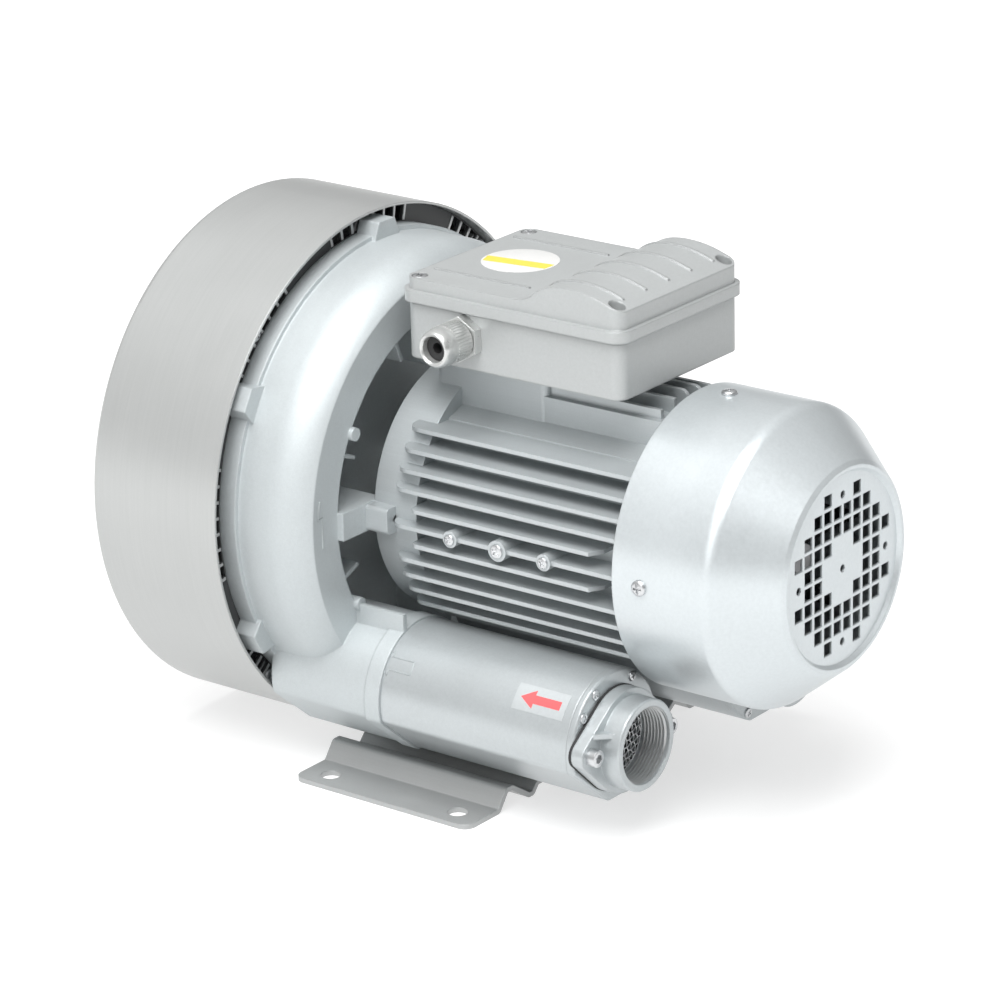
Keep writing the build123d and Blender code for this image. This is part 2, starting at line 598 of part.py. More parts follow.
duct_parts = {}
for name, side in SIDES.items():
    duct_parts[f"{name}_silencer"] = make_silencer(side)
    duct_parts[f"{name}_liner"] = make_liner(side)
    duct_parts[f"{name}_end_cap"] = make_end_cap(side)
    duct_parts[f"{name}_gasket"] = make_gasket(side)
    duct_parts[f"{name}_flange"] = make_flange(side)
    duct_parts[f"{name}_screen"] = make_screen(side)

with BuildPart() as end_cap_screws:
    for side in SIDES.values():
        extrude(cap_screw_faces(GASKET_X, side, 3.2), amount=1.2)
        extrude(cap_screw_faces(GASKET_X, side, 2.0), amount=-14)

with BuildPart() as flange_screws:
    for side in SIDES.values():
        for radius, x, length in ((5.0, FLANGE_X + FLANGE_THICK, 6.0), (3.0, SILENCER_END_X + 0.5, 14.0)):
            with BuildSketch(across(x)) as faces:
                with Locations(flange_seat(side)):
                    with GridLocations(FLANGE_SPACING, 1, 2, 1):
                        Circle(radius)
            extrude(faces.sketch, amount=length)
        with BuildSketch(across(FLANGE_X + FLANGE_THICK + 6)) as faces:
            with Locations(flange_seat(side)):
                with GridLocations(FLANGE_SPACING, 1, 2, 1):
                    RegularPolygon(2.9, 6)
        extrude(faces.sketch, amount=-3, mode=Mode.SUBTRACT)

# ---- rotor -------------------------------------------------------------------------------
bearing_end_x = DRIVE_BEARING_X + BEARING_WIDTH
fan_bearing_end_x = FAN_BEARING_X + BEARING_WIDTH
with BuildPart() as shaft:
    revolve(
        turned(
            [
                (SHAFT_FRONT_X, 0),
                (SHAFT_FRONT_X, 11),
                (SHAFT_FRONT_X + 1, 12),
                (DRIVE_BEARING_X, 12),
                (DRIVE_BEARING_X, BEARING_BORE),
                (bearing_end_x, BEARING_BORE),
                (bearing_end_x, 15),
                (STATOR_X0, 15),
                (STATOR_X0, 16),
                (STATOR_X1, 16),
                (STATOR_X1, 15),
                (FAN_BEARING_X, 15),
                (FAN_BEARING_X, BEARING_BORE),
                (fan_bearing_end_x, BEARING_BORE),
                (fan_bearing_end_x, 10),
                (FAN_X1 + 1, 10),
                (FAN_X1 + 1, 9),
                (FAN_X1 + 2.6, 9),
                (FAN_X1 + 2.6, 10),
                (FAN_X1 + 11, 10),
                (FAN_X1 + 12, 9),
                (FAN_X1 + 12, 0),
            ]
        ),
        axis=AXIS,
    )
    for x in (SPLIT_REAR, SPLIT_FRONT):
        with Locations((x, 0, AXIS_HEIGHT + 12)):
            Box(IMPELLER_WIDTH - 4, 8, 8, mode=Mode.SUBTRACT)


def make_impeller(x):
    with BuildPart() as impeller:
        edge = IMPELLER_WIDTH / 2
        extrude(disc(x - edge, HUB_RADIUS), amount=IMPELLER_WIDTH)
        extrude(disc(x - WEB_THICK / 2, IMPELLER_RADIUS), amount=WEB_THICK)
        blade_angles = [360 / BLADE_COUNT * i for i in range(BLADE_COUNT)]
        extrude(radial_bars(x - edge, BLADE_IN, IMPELLER_RADIUS - 0.05, BLADE_THICK, blade_angles),
                amount=IMPELLER_WIDTH)
        extrude(disc(x - edge, 12 + FIT), amount=IMPELLER_WIDTH, mode=Mode.SUBTRACT)
        with Locations((x, 0, AXIS_HEIGHT + 12)):
            Box(IMPELLER_WIDTH, 8, 7.2, mode=Mode.SUBTRACT)
    return impeller


impeller_rear = make_impeller(SPLIT_REAR)
impeller_front = make_impeller(SPLIT_FRONT)

with BuildPart() as shaft_keys:
    for x in (SPLIT_REAR, SPLIT_FRONT):
        with Locations((x, 0, AXIS_HEIGHT + 8)):
            Box(IMPELLER_WIDTH - 4.2, 7.9, 7, align=(Align.CENTER, Align.CENTER, Align.MIN))

with BuildPart() as shaft_spacers:
    half = IMPELLER_WIDTH / 2
    extrude(disc(SPLIT_FRONT + half, 19, 12 + FIT), amount=STAGE_PITCH - IMPELLER_WIDTH)
    extrude(disc(SPLIT_REAR + half, 17, 12 + FIT), amount=DRIVE_BEARING_X - SPLIT_REAR - half)

with BuildPart() as shaft_nut:
    with BuildSketch(across(SPLIT_FRONT - half)):
        RegularPolygon(18, 6)
        Circle(12 + FIT, mode=Mode.SUBTRACT)
    extrude(amount=-10)

with BuildPart() as rotor_core:
    extrude(disc(STATOR_X0, STATOR_BORE - 0.5, 16 + FIT), amount=STATOR_X1 - STATOR_X0)
    extrude(disc(STATOR_X0 - 8, STATOR_BORE - 3, 22), amount=8)
    extrude(disc(STATOR_X1, STATOR_BORE - 3, 22), amount=8)

with BuildPart() as shaft_seal:
    seal_x = SPLIT_REAR + HUB_BAY
    extrude(disc(seal_x, 22.0 - FIT, 17 + RUN), amount=WELL_FLOOR_X - seal_x)

bearings = {}
for end, x in (("drive", DRIVE_BEARING_X), ("fan", FAN_BEARING_X)):
    with BuildPart() as outer_ring:
        extrude(disc(x, BEARING_OUT - FIT, BEARING_SPLIT_OUT), amount=BEARING_WIDTH)
    with BuildPart() as inner_ring:
        extrude(disc(x, BEARING_SPLIT_IN, BEARING_BORE + FIT), amount=BEARING_WIDTH)
    bearings[f"{end}_bearing_outer"] = outer_ring
    bearings[f"{end}_bearing_inner"] = inner_ring

with BuildPart() as cooling_fan:
    extrude(disc(FAN_X0, FAN_HUB), amount=FAN_X1 - FAN_X0)
    extrude(disc(FAN_X0, 50), amount=2.5)
    fan_angles = [360 / FAN_BLADES * i for i in range(FAN_BLADES)]
    extrude(radial_bars(FAN_X0, FAN_HUB - 2, FAN_RADIUS, 2.4, fan_angles), amount=FAN_X1 - FAN_X0 - 2)
    extrude(disc(FAN_X0, 10 + FIT), amount=FAN_X1 - FAN_X0, mode=Mode.SUBTRACT)

with BuildPart() as fan_clip:
    extrude(disc(FAN_X1 + 1.1, 14, 9 + FIT), amount=1.4)
    with Locations((FAN_X1 + 1.8, 0, AXIS_HEIGHT + 12)):
        Box(2, 5, 8, mode=Mode.SUBTRACT)

# ---- motor -------------------------------------------------------------------------------
def side_fin(z, x0, x1, corner):
    """Level plate through the motor whose two sides end on the tip circle."""
    tip = sqrt(FIN_TIP**2 - z**2) if z > -6 * FIN_PITCH else LOWEST_FIN_HALF
    with BuildSketch(Plane.XY.offset(AXIS_HEIGHT + z - FIN_THICK / 2)) as face:
        with Locations(((x0 + x1) / 2, 0)):
            Rectangle(x1 - x0, 2 * tip)
        fillet(face.vertices().group_by(Axis.X)[0], radius=corner)
        if x1 < FIN_END_X:
            chamfer(face.vertices().group_by(Axis.X)[-1], length=5, length2=9)
    return face.sketch


def upright_fins(count, z0, x0, x1, limit):
    """Upright plates from z0 outwards to the tip circle, above or below the shaft."""
    outline = Plane(origin=(0, 0, AXIS_HEIGHT), x_dir=(1, 0, 0), z_dir=(0, -1, 0))
    faces = []
    for i in range(count):
        y = (i - (count - 1) / 2) * 2 * limit / (count - 1)
        tip = sqrt(FIN_TIP**2 - (abs(y) + FIN_THICK / 2) ** 2) * (1 if z0 > 0 else -1)
        with BuildSketch(outline.offset(-y - FIN_THICK / 2)) as face:
            with Locations(((x0 + x1) / 2, (z0 + tip) / 2)):
                Rectangle(x1 - x0, abs(tip - z0))
            ends = face.vertices().sort_by(Axis.Z)
            fillet(ends[-2:] if z0 > 0 else ends[:2], radius=5)
        faces.append(face.sketch)
    return faces


with BuildPart() as motor_housing:
    extrude(disc(MOTOR_FRONT_X, MOTOR_RING), amount=MOTOR_RING_END_X - MOTOR_FRONT_X)
    extrude(disc(MOTOR_RING_END_X, HOUSING_ROOT), amount=HOUSING_END_X - MOTOR_RING_END_X)
    for k in range(-SIDE_FINS, SIDE_FINS):
        short = abs(k) == 1
        x0 = SHORT_FIN_START_X if short else FIN_START_X
        x1 = SHORT_FIN_END_X if short else FIN_END_X
        extrude(side_fin(k * FIN_PITCH, x0, x1, 4 if short else 9), amount=FIN_THICK)
    for fin in upright_fins(BOTTOM_FINS, -50, FIN_START_X, FIN_END_X, 24):
        extrude(fin, amount=FIN_THICK)
    for fin in upright_fins(TOP_FINS, 60, PEDESTAL_END_X - 5, TOP_FIN_END_X, 26):
        extrude(fin, amount=FIN_THICK)
    # smooth block on top, and the pedestal of the terminal box
    with BuildSketch(across(FIN_START_X)):
        with BuildLine():
            Polyline(
                (-PEDESTAL_HALF - 14, 5 * FIN_PITCH - 4),
                (-PEDESTAL_HALF - 14, 5 * FIN_PITCH + 2),
                (-PEDESTAL_HALF, 5 * FIN_PITCH + 7),
                (-PEDESTAL_HALF, TOP_BLOCK_HEIGHT),
                (PEDESTAL_HALF, TOP_BLOCK_HEIGHT),
                (PEDESTAL_HALF, 5 * FIN_PITCH + 7),
                (PEDESTAL_HALF + 14, 5 * FIN_PITCH + 2),
                (PEDESTAL_HALF + 14, 5 * FIN_PITCH - 4),
                close=True,
            )
        make_face()
    extrude(amount=HOUSING_END_X - FIN_START_X)
    extrude(
        rounded_box(AXIS_HEIGHT + 55, PEDESTAL_START_X, PEDESTAL_END_X, PEDESTAL_HALF + 0.6, 5),
        amount=BOX_Z0 - AXIS_HEIGHT - 55,
    )
    extrude(
        radial_bars(MOTOR_FRONT_X, HOUSING_ROOT, MOTOR_LUG_OUT, MOTOR_LUG_WIDTH, (0, 90, 180, 270)),
        amount=MOTOR_LUG_END_X - MOTOR_FRONT_X,
    )
    fillet(
        motor_housing.edges()
        .filter_by(Axis.X)
        .filter_by(lambda edge: abs(edge.length - (MOTOR_LUG_END_X - MOTOR_FRONT_X)) < 0.01)
        .filter_by(lambda edge: max(abs(edge.center().Y), abs(edge.center().Z - AXIS_HEIGHT)) > MOTOR_LUG_OUT - 1),
        radius=2.5,
    )
    for x, radius in zip(BOSS_X, BOSS_RADII):
        with BuildSketch(Plane.XZ.offset(HOUSING_ROOT - 4)):
            with Locations((x, AXIS_HEIGHT)):
                Circle(radius)
        extrude(amount=BOSS_FACE_Y - HOUSING_ROOT + 4)
    extrude(disc(MOTOR_FRONT_X, HOUSING_BORE), amount=FIN_END_X - MOTOR_FRONT_X, mode=Mode.SUBTRACT)
    # wire way from the winding space up into the terminal box
    with Locations((10, 0, BOX_Z0)):
        Hole(9, depth=40)
    extrude(
        discs_on_circle(MOTOR_FRONT_X, MOTOR_BOLT + THREAD, MOTOR_BOLT_CIRCLE, (0, 90, 180, 270)),
        amount=MOTOR_LUG_END_X - MOTOR_FRONT_X,
        mode=Mode.SUBTRACT,
    )
    for x in BOSS_X:
        with Locations(Plane.XZ.offset(BOSS_FACE_Y) * Location((x, AXIS_HEIGHT, 0))):
            Hole(2 + THREAD, depth=12)

with BuildPart() as lug_screws:
    lug_head_x = SPLIT_REAR + DISC_FACE + 6
    lug_reach = MOTOR_LUG_END_X - 6 - lug_head_x
    extrude(discs_on_circle(lug_head_x, 4.5, MOTOR_BOLT_CIRCLE, (0, 90, 180, 270)), amount=-5)
    extrude(discs_on_circle(lug_head_x, MOTOR_BOLT, MOTOR_BOLT_CIRCLE, (0, 90, 180, 270)), amount=lug_reach)

with BuildPart() as boss_screws:
    for x, radius in zip(BOSS_X, BOSS_RADII):
        with BuildSketch(Plane.XZ.offset(BOSS_FACE_Y)):
            with Locations((x, AXIS_HEIGHT)):
                Circle(radius * 0.66)
        extrude(amount=1.6)
        with BuildSketch(Plane.XZ.offset(BOSS_FACE_Y)):
            with Locations((x, AXIS_HEIGHT)):
                Circle(2)
        extrude(amount=-11)

with BuildPart() as drive_end_shield:
    revolve(
        turned(
            [
                (DRIVE_BEARING_X - 3, BEARING_SPLIT_IN + 1),
                (DRIVE_BEARING_X - 3, 33),
                (-34, 35),
                (-34, HOUSING_BORE - FIT),
                (-24, HOUSING_BORE - FIT),
                (-24, 23),
                (bearing_end_x, 23),
                (bearing_end_x, BEARING_OUT),
                (DRIVE_BEARING_X, BEARING_OUT),
                (DRIVE_BEARING_X, BEARING_SPLIT_IN + 1),
            ]
        ),
        axis=AXIS,
    )

with BuildPart() as fan_end_shield:
    revolve(
        turned(
            [
                (HOUSING_END_X - 12, 30),
                (HOUSING_END_X - 12, HOUSING_BORE - FIT),
                (FIN_END_X + 1, HOUSING_BORE - FIT),
                (FIN_END_X + 1, 14),
                (fan_bearing_end_x, 14),
                (fan_bearing_end_x, BEARING_OUT),
                (FAN_BEARING_X, BEARING_OUT),
                (FAN_BEARING_X, 30),
            ]
        ),
        axis=AXIS,
    )
    ear_out = COWL_RADIUS - COWL_SHEET
    extrude(radial_bars(FIN_END_X + 1, 40, ear_out - 0.7, 16, (0, 90, 180, 270)), amount=22)

with BuildPart() as stator_core:
    extrude(disc(STATOR_X0, HOUSING_BORE - FIT, STATOR_BORE), amount=STATOR_X1 - STATOR_X0)

with BuildPart() as stator_windings:
    for x, outwards in ((STATOR_X0, -1), (STATOR_X1, 1)):
        extrude(disc(x, 57, 41), amount=outwards * COIL_OVERHANG)
    fillet(stator_windings.edges().group_by(Axis.X)[0], 4)
    fillet(stator_windings.edges().group_by(Axis.X)[-1], 4)

# ---- fan cowl ----------------------------------------------------------------------------
with BuildPart() as fan_cowl:
    with BuildSketch(SECTION) as cowl_section:
        with BuildLine():
            rim = COWL_NOSE
            outer = Polyline(
                (COWL_START_X, COWL_RADIUS),
                (COWL_BREAK_X, COWL_RADIUS),
                (COWL_END_X - 2, rim + 1.5),
                (COWL_END_X, rim - 1),
                (COWL_END_X, rim - 3),
                (COWL_DISC_X, rim - 5),
                (COWL_DISC_X, 0),
                (COWL_DISC_X - COWL_SHEET, 0),
                (COWL_DISC_X - COWL_SHEET, rim - 4),
                (COWL_END_X - 4, rim - 2),
                (COWL_BREAK_X - 1, COWL_RADIUS - COWL_SHEET),
                (COWL_START_X, COWL_RADIUS - COWL_SHEET),
                close=True,
            )
        make_face()
        breaks = [v for v in cowl_section.vertices() if abs(v.X - COWL_BREAK_X) < 1.5]
        fillet(breaks, radius=11)
    revolve(axis=AXIS)
    with BuildSketch(across(COWL_DISC_X - 4)):
        for row in (-4.5, -3.5, -2.5, -1.5, -0.5, 0.5, 1.5, 2.5, 3.5, 4.5):
            for column in (-4.5, -3.5, -2.5, -1.5, -0.5, 0.5, 1.5, 2.5, 3.5, 4.5):
                reach = sqrt(row**2 + column**2)
                if 2.1 < reach < 4.8 and not (abs(row) == 4.5 and abs(column) < 1):
                    if not (abs(column) == 4.5 and abs(row) < 1):
                        with Locations((column * HOLE_PITCH, row * HOLE_PITCH)):
                            Rectangle(HOLE_SIDE, HOLE_SIDE)
        with PolarLocations(4.5 * HOLE_PITCH, 4):
            Circle(SMALL_HOLE)
        Circle(SMALL_HOLE)
    extrude(amount=8, mode=Mode.SUBTRACT)

# the cowl's four screws stand on radii through the fan side ears
cowl_screw_planes = [
    Plane(
        origin=(COWL_SCREW_X, 0, AXIS_HEIGHT),
        x_dir=(1, 0, 0),
        z_dir=(0, cos(radians(angle)), sin(radians(angle))),
    )
    for angle in (0, 90, 180, 270)
]
for plane in cowl_screw_planes:
    with fan_cowl:
        with BuildSketch(plane.offset(COWL_RADIUS - 5)):
            Circle(2.4)
        extrude(amount=10, mode=Mode.SUBTRACT)
    with fan_end_shield:
        with BuildSketch(plane.offset(COWL_RADIUS - 14)):
            Circle(2 + THREAD)
        extrude(amount=16, mode=Mode.SUBTRACT)

with BuildPart() as cowl_screws:
    for plane in cowl_screw_planes:
        with BuildSketch(plane.offset(COWL_RADIUS + 0.1)):
            Circle(4.6)
        extrude(amount=2.6, taper=25)
        with BuildSketch(plane.offset(COWL_RADIUS + 0.1)):
            Circle(2.0)
        extrude(amount=-13)

# ---- terminal box ------------------------------------------------------------------------
box_span_x = (BOX_X0 + BOX_X1) / 2
lid_screw_places = [
    (x, side * (BOX_HALF - LID_SCREW_INSET))
    for x in (BOX_X0 + LID_SCREW_INSET, BOX_X1 - LID_SCREW_INSET)
    for side in (-1, 1)
]
with BuildPart() as terminal_box_base:
    extrude(rounded_box(BOX_Z0, BOX_X0, BOX_X1, BOX_HALF, BOX_CORNER), amount=BOX_Z1 - BOX_Z0)
    cavity = rounded_box(
        BOX_Z0 + 4, BOX_X0 + BOX_WALL, BOX_X1 - BOX_WALL, BOX_HALF - BOX_WALL, BOX_CORNER - BOX_WALL
    )
    extrude(cavity, amount=BOX_Z1 - BOX_Z0 - 4, mode=Mode.SUBTRACT)
    with Locations(*[(x, y, BOX_Z0) for x, y in lid_screw_places]):
        Cylinder(6, BOX_Z1 - BOX_Z0, align=(Align.CENTER, Align.CENTER, Align.MIN))
        Cylinder(
            2 + THREAD, 40, align=(Align.CENTER, Align.CENTER, Align.MIN), mode=Mode.SUBTRACT,
        )
    with Locations((10, 0, BOX_Z0 + 4)):
        Hole(9, depth=4)
    with BuildSketch(Plane.XZ.offset(BOX_HALF)):
        with Locations((GLAND_X, GLAND_Z)):
            Circle(10 + THREAD)
    extrude(amount=-BOX_WALL, mode=Mode.SUBTRACT)

with BuildPart() as terminal_box_gasket:
    inset = 5.5
    extrude(rounded_box(BOX_Z1, BOX_X0, BOX_X1, BOX_HALF, BOX_CORNER), amount=GASKET_THICK)
    opening = rounded_box(BOX_Z1, BOX_X0 + inset, BOX_X1 - inset, BOX_HALF - inset, BOX_CORNER - 3)
    extrude(opening, amount=GASKET_THICK, mode=Mode.SUBTRACT)
    with Locations(*[(x, y, BOX_Z1) for x, y in lid_screw_places]):
        Cylinder(6, GASKET_THICK, align=(Align.CENTER, Align.CENTER, Align.MIN))
        Cylinder(2.4, 9, mode=Mode.SUBTRACT)


def lid_profile(drop):
    """Side view of the lid's top, lowered by drop for its inner face."""
    with BuildSketch(Plane.XZ.offset(BOX_HALF + 5)) as face:
        with BuildLine():
            low = BOX_Z1 - 5
            Line((BOX_X0 - 5, low), (BOX_X0 - 5, LID_FLAT_Z - drop))
            Line((BOX_X0 - 5, LID_FLAT_Z - drop), (LID_STEP_X, LID_FLAT_Z - drop))
            Spline(
                (LID_STEP_X, LID_FLAT_Z - drop),
                (LID_RISE_X, LID_PEAK_Z - 4.6 - drop),
                (LID_PEAK_X, LID_PEAK_Z - drop),
                (BOX_X1 + 5, LID_END_Z - 2 - drop),
                tangents=[(1, 0), (1, -0.42)],
            )
            Line((BOX_X1 + 5, LID_END_Z - 2 - drop), (BOX_X1 + 5, low))
            Line((BOX_X1 + 5, low), (BOX_X0 - 5, low))
        make_face()
    return face.sketch


with BuildPart() as terminal_box_lid:
    lid_z = BOX_Z1 + GASKET_THICK
    extrude(rounded_box(lid_z, BOX_X0, BOX_X1, BOX_HALF, BOX_CORNER), amount=40)
    extrude(lid_profile(0), amount=-2 * BOX_HALF - 10, mode=Mode.INTERSECT)
    with BuildPart(mode=Mode.PRIVATE) as lid_ribs:
        with Locations(*[((LID_RISE_X + BOX_X1) / 2 - 6, LID_RIB_PITCH * row, lid_z + 8) for row in range(-2, 3)]):
            Box(
                BOX_X1 - LID_RISE_X - 4, LID_RIB_WIDTH, 60, align=(Align.CENTER, Align.CENTER, Align.MIN),
            )
        with Locations(*[((BOX_X0 + LID_STEP_X) / 2, side * 38, lid_z + 8) for side in (-1, 1)]):
            Box(LID_STEP_X - BOX_X0 - 12, 1.4, 60, align=(Align.CENTER, Align.CENTER, Align.MIN))
        extrude(lid_profile(-LID_RIB_RISE), amount=-2 * BOX_HALF - 10, mode=Mode.INTERSECT)
    add(lid_ribs.part)
    extrude(
        rounded_box(lid_z, BOX_X0 - LIP, BOX_X1 + LIP, BOX_HALF + LIP, BOX_CORNER + LIP),
        amount=LIP_HEIGHT,
    )
    with BuildPart(mode=Mode.PRIVATE) as lid_hollow:
        wall = BOX_WALL
        hollow_face = rounded_box(lid_z, BOX_X0 + wall, BOX_X1 - wall, BOX_HALF - wall, BOX_CORNER - wall)
        extrude(hollow_face, amount=40)
        extrude(lid_profile(wall), amount=-2 * BOX_HALF - 10, mode=Mode.INTERSECT)
        with Locations(*[(x, y, lid_z) for x, y in lid_screw_places]):
            Cylinder(
                6.5, 40, align=(Align.CENTER, Align.CENTER, Align.MIN), mode=Mode.SUBTRACT
            )
    add(lid_hollow.part, mode=Mode.SUBTRACT)
    with Locations(*[(x, y, LID_FLAT_Z - 3) for x, y in lid_screw_places]):
        Cylinder(4.8, 30, align=(Align.CENTER, Align.CENTER, Align.MIN), mode=Mode.SUBTRACT)
    with Locations(*[(x, y, lid_z) for x, y in lid_screw_places]):
        Cylinder(2.4, 40, mode=Mode.SUBTRACT)

with BuildPart() as lid_screws:
    with Locations(*[(x, y, LID_FLAT_Z - 3) for x, y in lid_screw_places]):
        Cylinder(4.2, 3.4, align=(Align.CENTER, Align.CENTER, Align.MIN))
        Cylinder(2.0, 24, align=(Align.CENTER, Align.CENTER, Align.MAX))

with BuildPart() as terminal_block:
    with Locations((35, 22, BOX_Z0 + 4)):
        Box(46, 24, 8, align=(Align.CENTER, Align.CENTER, Align.MIN))
        with GridLocations(9, 1, 5, 1):
            Cylinder(2, 14, align=(Align.CENTER, Align.CENTER, Align.MIN))

with BuildPart() as capacitor:
    capacitor_z = BOX_Z0 + 4 + CAPACITOR_RADIUS
    with BuildSketch(Plane.XZ.offset(CAPACITOR_LENGTH / 2)):
        with Locations((LID_PEAK_X - 5, capacitor_z)):
            Circle(CAPACITOR_RADIUS)
    extrude(amount=-CAPACITOR_LENGTH)
    chamfer(capacitor.edges().filter_by(GeomType.CIRCLE), 1.5)

# ---- cable gland -------------------------------------------------------------------------
def gland_face(y, outer, inner=0.0, hexagon=False, turn=30):
    with BuildSketch(Plane.XZ.offset(y)) as face:
        with Locations((GLAND_X, GLAND_Z)):
            if hexagon:
                RegularPolygon(outer, 6, major_radius=False, rotation=turn)
            else:
                Circle(outer)
            if inner:
                Circle(inner, mode=Mode.SUBTRACT)
    return face.sketch


hex_out_y = BOX_HALF + GLAND_HEX_THICK
with BuildPart() as gland_body:
    extrude(gland_face(BOX_HALF, GLAND_HEX / 2, GLAND_MOUTH, hexagon=True), amount=GLAND_HEX_THICK)
    extrude(gland_face(hex_out_y, 10, GLAND_MOUTH), amount=GLAND_NUT_LENGTH - 9)
    extrude(gland_face(BOX_HALF, 10, GLAND_MOUTH), amount=-BOX_WALL - 7)

with BuildPart() as gland_locknut:
    locknut_y = BOX_HALF - BOX_WALL
    extrude(gland_face(locknut_y, 13, 10 + THREAD, hexagon=True, turn=0), amount=-4)

with BuildPart() as gland_seal:
    extrude(gland_face(hex_out_y, GLAND_MOUTH - FIT, GLAND_CABLE), amount=GLAND_NUT_LENGTH - 5)

with BuildPart() as gland_nut:
    dome_y = hex_out_y + GLAND_NUT_LENGTH
    extrude(gland_face(hex_out_y + 0.5, GLAND_NUT_RADIUS), amount=GLAND_NUT_LENGTH - 0.5)
    fillet(gland_nut.edges().group_by(Axis.Y)[0], 4.2)
    extrude(gland_face(hex_out_y + 0.5, GLAND_MOUTH - 0.5), amount=GLAND_NUT_LENGTH, mode=Mode.SUBTRACT)
    extrude(gland_face(hex_out_y + 0.5, 10 + THREAD), amount=GLAND_NUT_LENGTH - 9, mode=Mode.SUBTRACT)
    extrude(
        gland_face(hex_out_y + 0.5, GLAND_MOUTH), amount=GLAND_NUT_LENGTH - 5, mode=Mode.SUBTRACT
    )

# ---- write every piece -------------------------------------------------------------------
pieces = {
    "foot_plate": foot_plate,
    "foot_screws": foot_screws,
    "casing_motor_side": casing_motor_side,
    "casing_middle": casing_middle,
    "casing_front": casing_front,
    "casing_bolts": casing_bolts,
    "grille_ring": grille_ring,
    "grille_screws": grille_screws,
    "drum_cover": drum_cover,
    "drum_screws": drum_screws,
    **duct_parts,
    "end_cap_screws": end_cap_screws,
    "flange_screws": flange_screws,
    "shaft": shaft,
    "impeller_rear": impeller_rear,
    "impeller_front": impeller_front,
    "shaft_keys": shaft_keys,
    "shaft_spacers": shaft_spacers,
    "shaft_nut": shaft_nut,
    "rotor_core": rotor_core,
    "shaft_seal": shaft_seal,
    **bearings,
    "cooling_fan": cooling_fan,
    "fan_clip": fan_clip,
    "motor_housing": motor_housing,
    "lug_screws": lug_screws,
    "boss_screws": boss_screws,
    "drive_end_shield": drive_end_shield,
    "fan_end_shield": fan_end_shield,
    "stator_core": stator_core,
    "stator_windings": stator_windings,
    "fan_cowl": fan_cowl,
    "cowl_screws": cowl_screws,
    "terminal_box_base": terminal_box_base,
    "terminal_box_gasket": terminal_box_gasket,
    "terminal_box_lid": terminal_box_lid,
    "lid_screws": lid_screws,
    "terminal_block": terminal_block,
    "capacitor": capacitor,
    "gland_body": gland_body,
    "gland_locknut": gland_locknut,
    "gland_seal": gland_seal,
    "gland_nut": gland_nut,
}
os.makedirs("parts", exist_ok=True)
for label, piece in pieces.items():
    piece.part.label = label
    export_step(piece.part, f"parts/{label}.step")
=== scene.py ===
"""Looks of a two stage side channel blower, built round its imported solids."""

import logging
import math
from dataclasses import dataclass, field, replace
from enum import Enum
from typing import Iterable, Optional, Sequence, Union

import bmesh
import bpy
from mathutils import Matrix, Vector


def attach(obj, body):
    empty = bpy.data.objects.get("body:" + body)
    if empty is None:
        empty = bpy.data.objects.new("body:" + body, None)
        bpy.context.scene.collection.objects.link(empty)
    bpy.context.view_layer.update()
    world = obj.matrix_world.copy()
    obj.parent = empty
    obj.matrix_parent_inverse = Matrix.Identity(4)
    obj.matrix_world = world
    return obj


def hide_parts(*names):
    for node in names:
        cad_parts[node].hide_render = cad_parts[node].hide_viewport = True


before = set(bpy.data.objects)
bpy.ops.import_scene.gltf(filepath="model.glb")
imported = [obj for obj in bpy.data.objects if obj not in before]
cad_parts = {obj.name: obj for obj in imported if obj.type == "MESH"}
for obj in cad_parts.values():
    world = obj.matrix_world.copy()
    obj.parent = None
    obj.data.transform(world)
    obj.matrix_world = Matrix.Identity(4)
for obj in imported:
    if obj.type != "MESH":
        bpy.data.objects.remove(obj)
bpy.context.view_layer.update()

LOG = logging.getLogger("blower")
MM = 0.001  # metres in a millimetre
AXIS_HEIGHT = 159.0  # of the shaft above the floor
SIDES = (-1, 1)  # inlet side, outlet side
UP = (0.0, 0.0, 1.0)
AHEAD = (1.0, 0.0, 0.0)  # along the shaft, towards the fan cowl
SMOOTH_BELOW = math.radians(35)  # edges sharper than this stay sharp
Point = tuple[float, float]
Spot = tuple[float, float, float]
Colour = tuple[float, float, float]
Number = Union[float, int]
Value = Union["Wire", float, int]


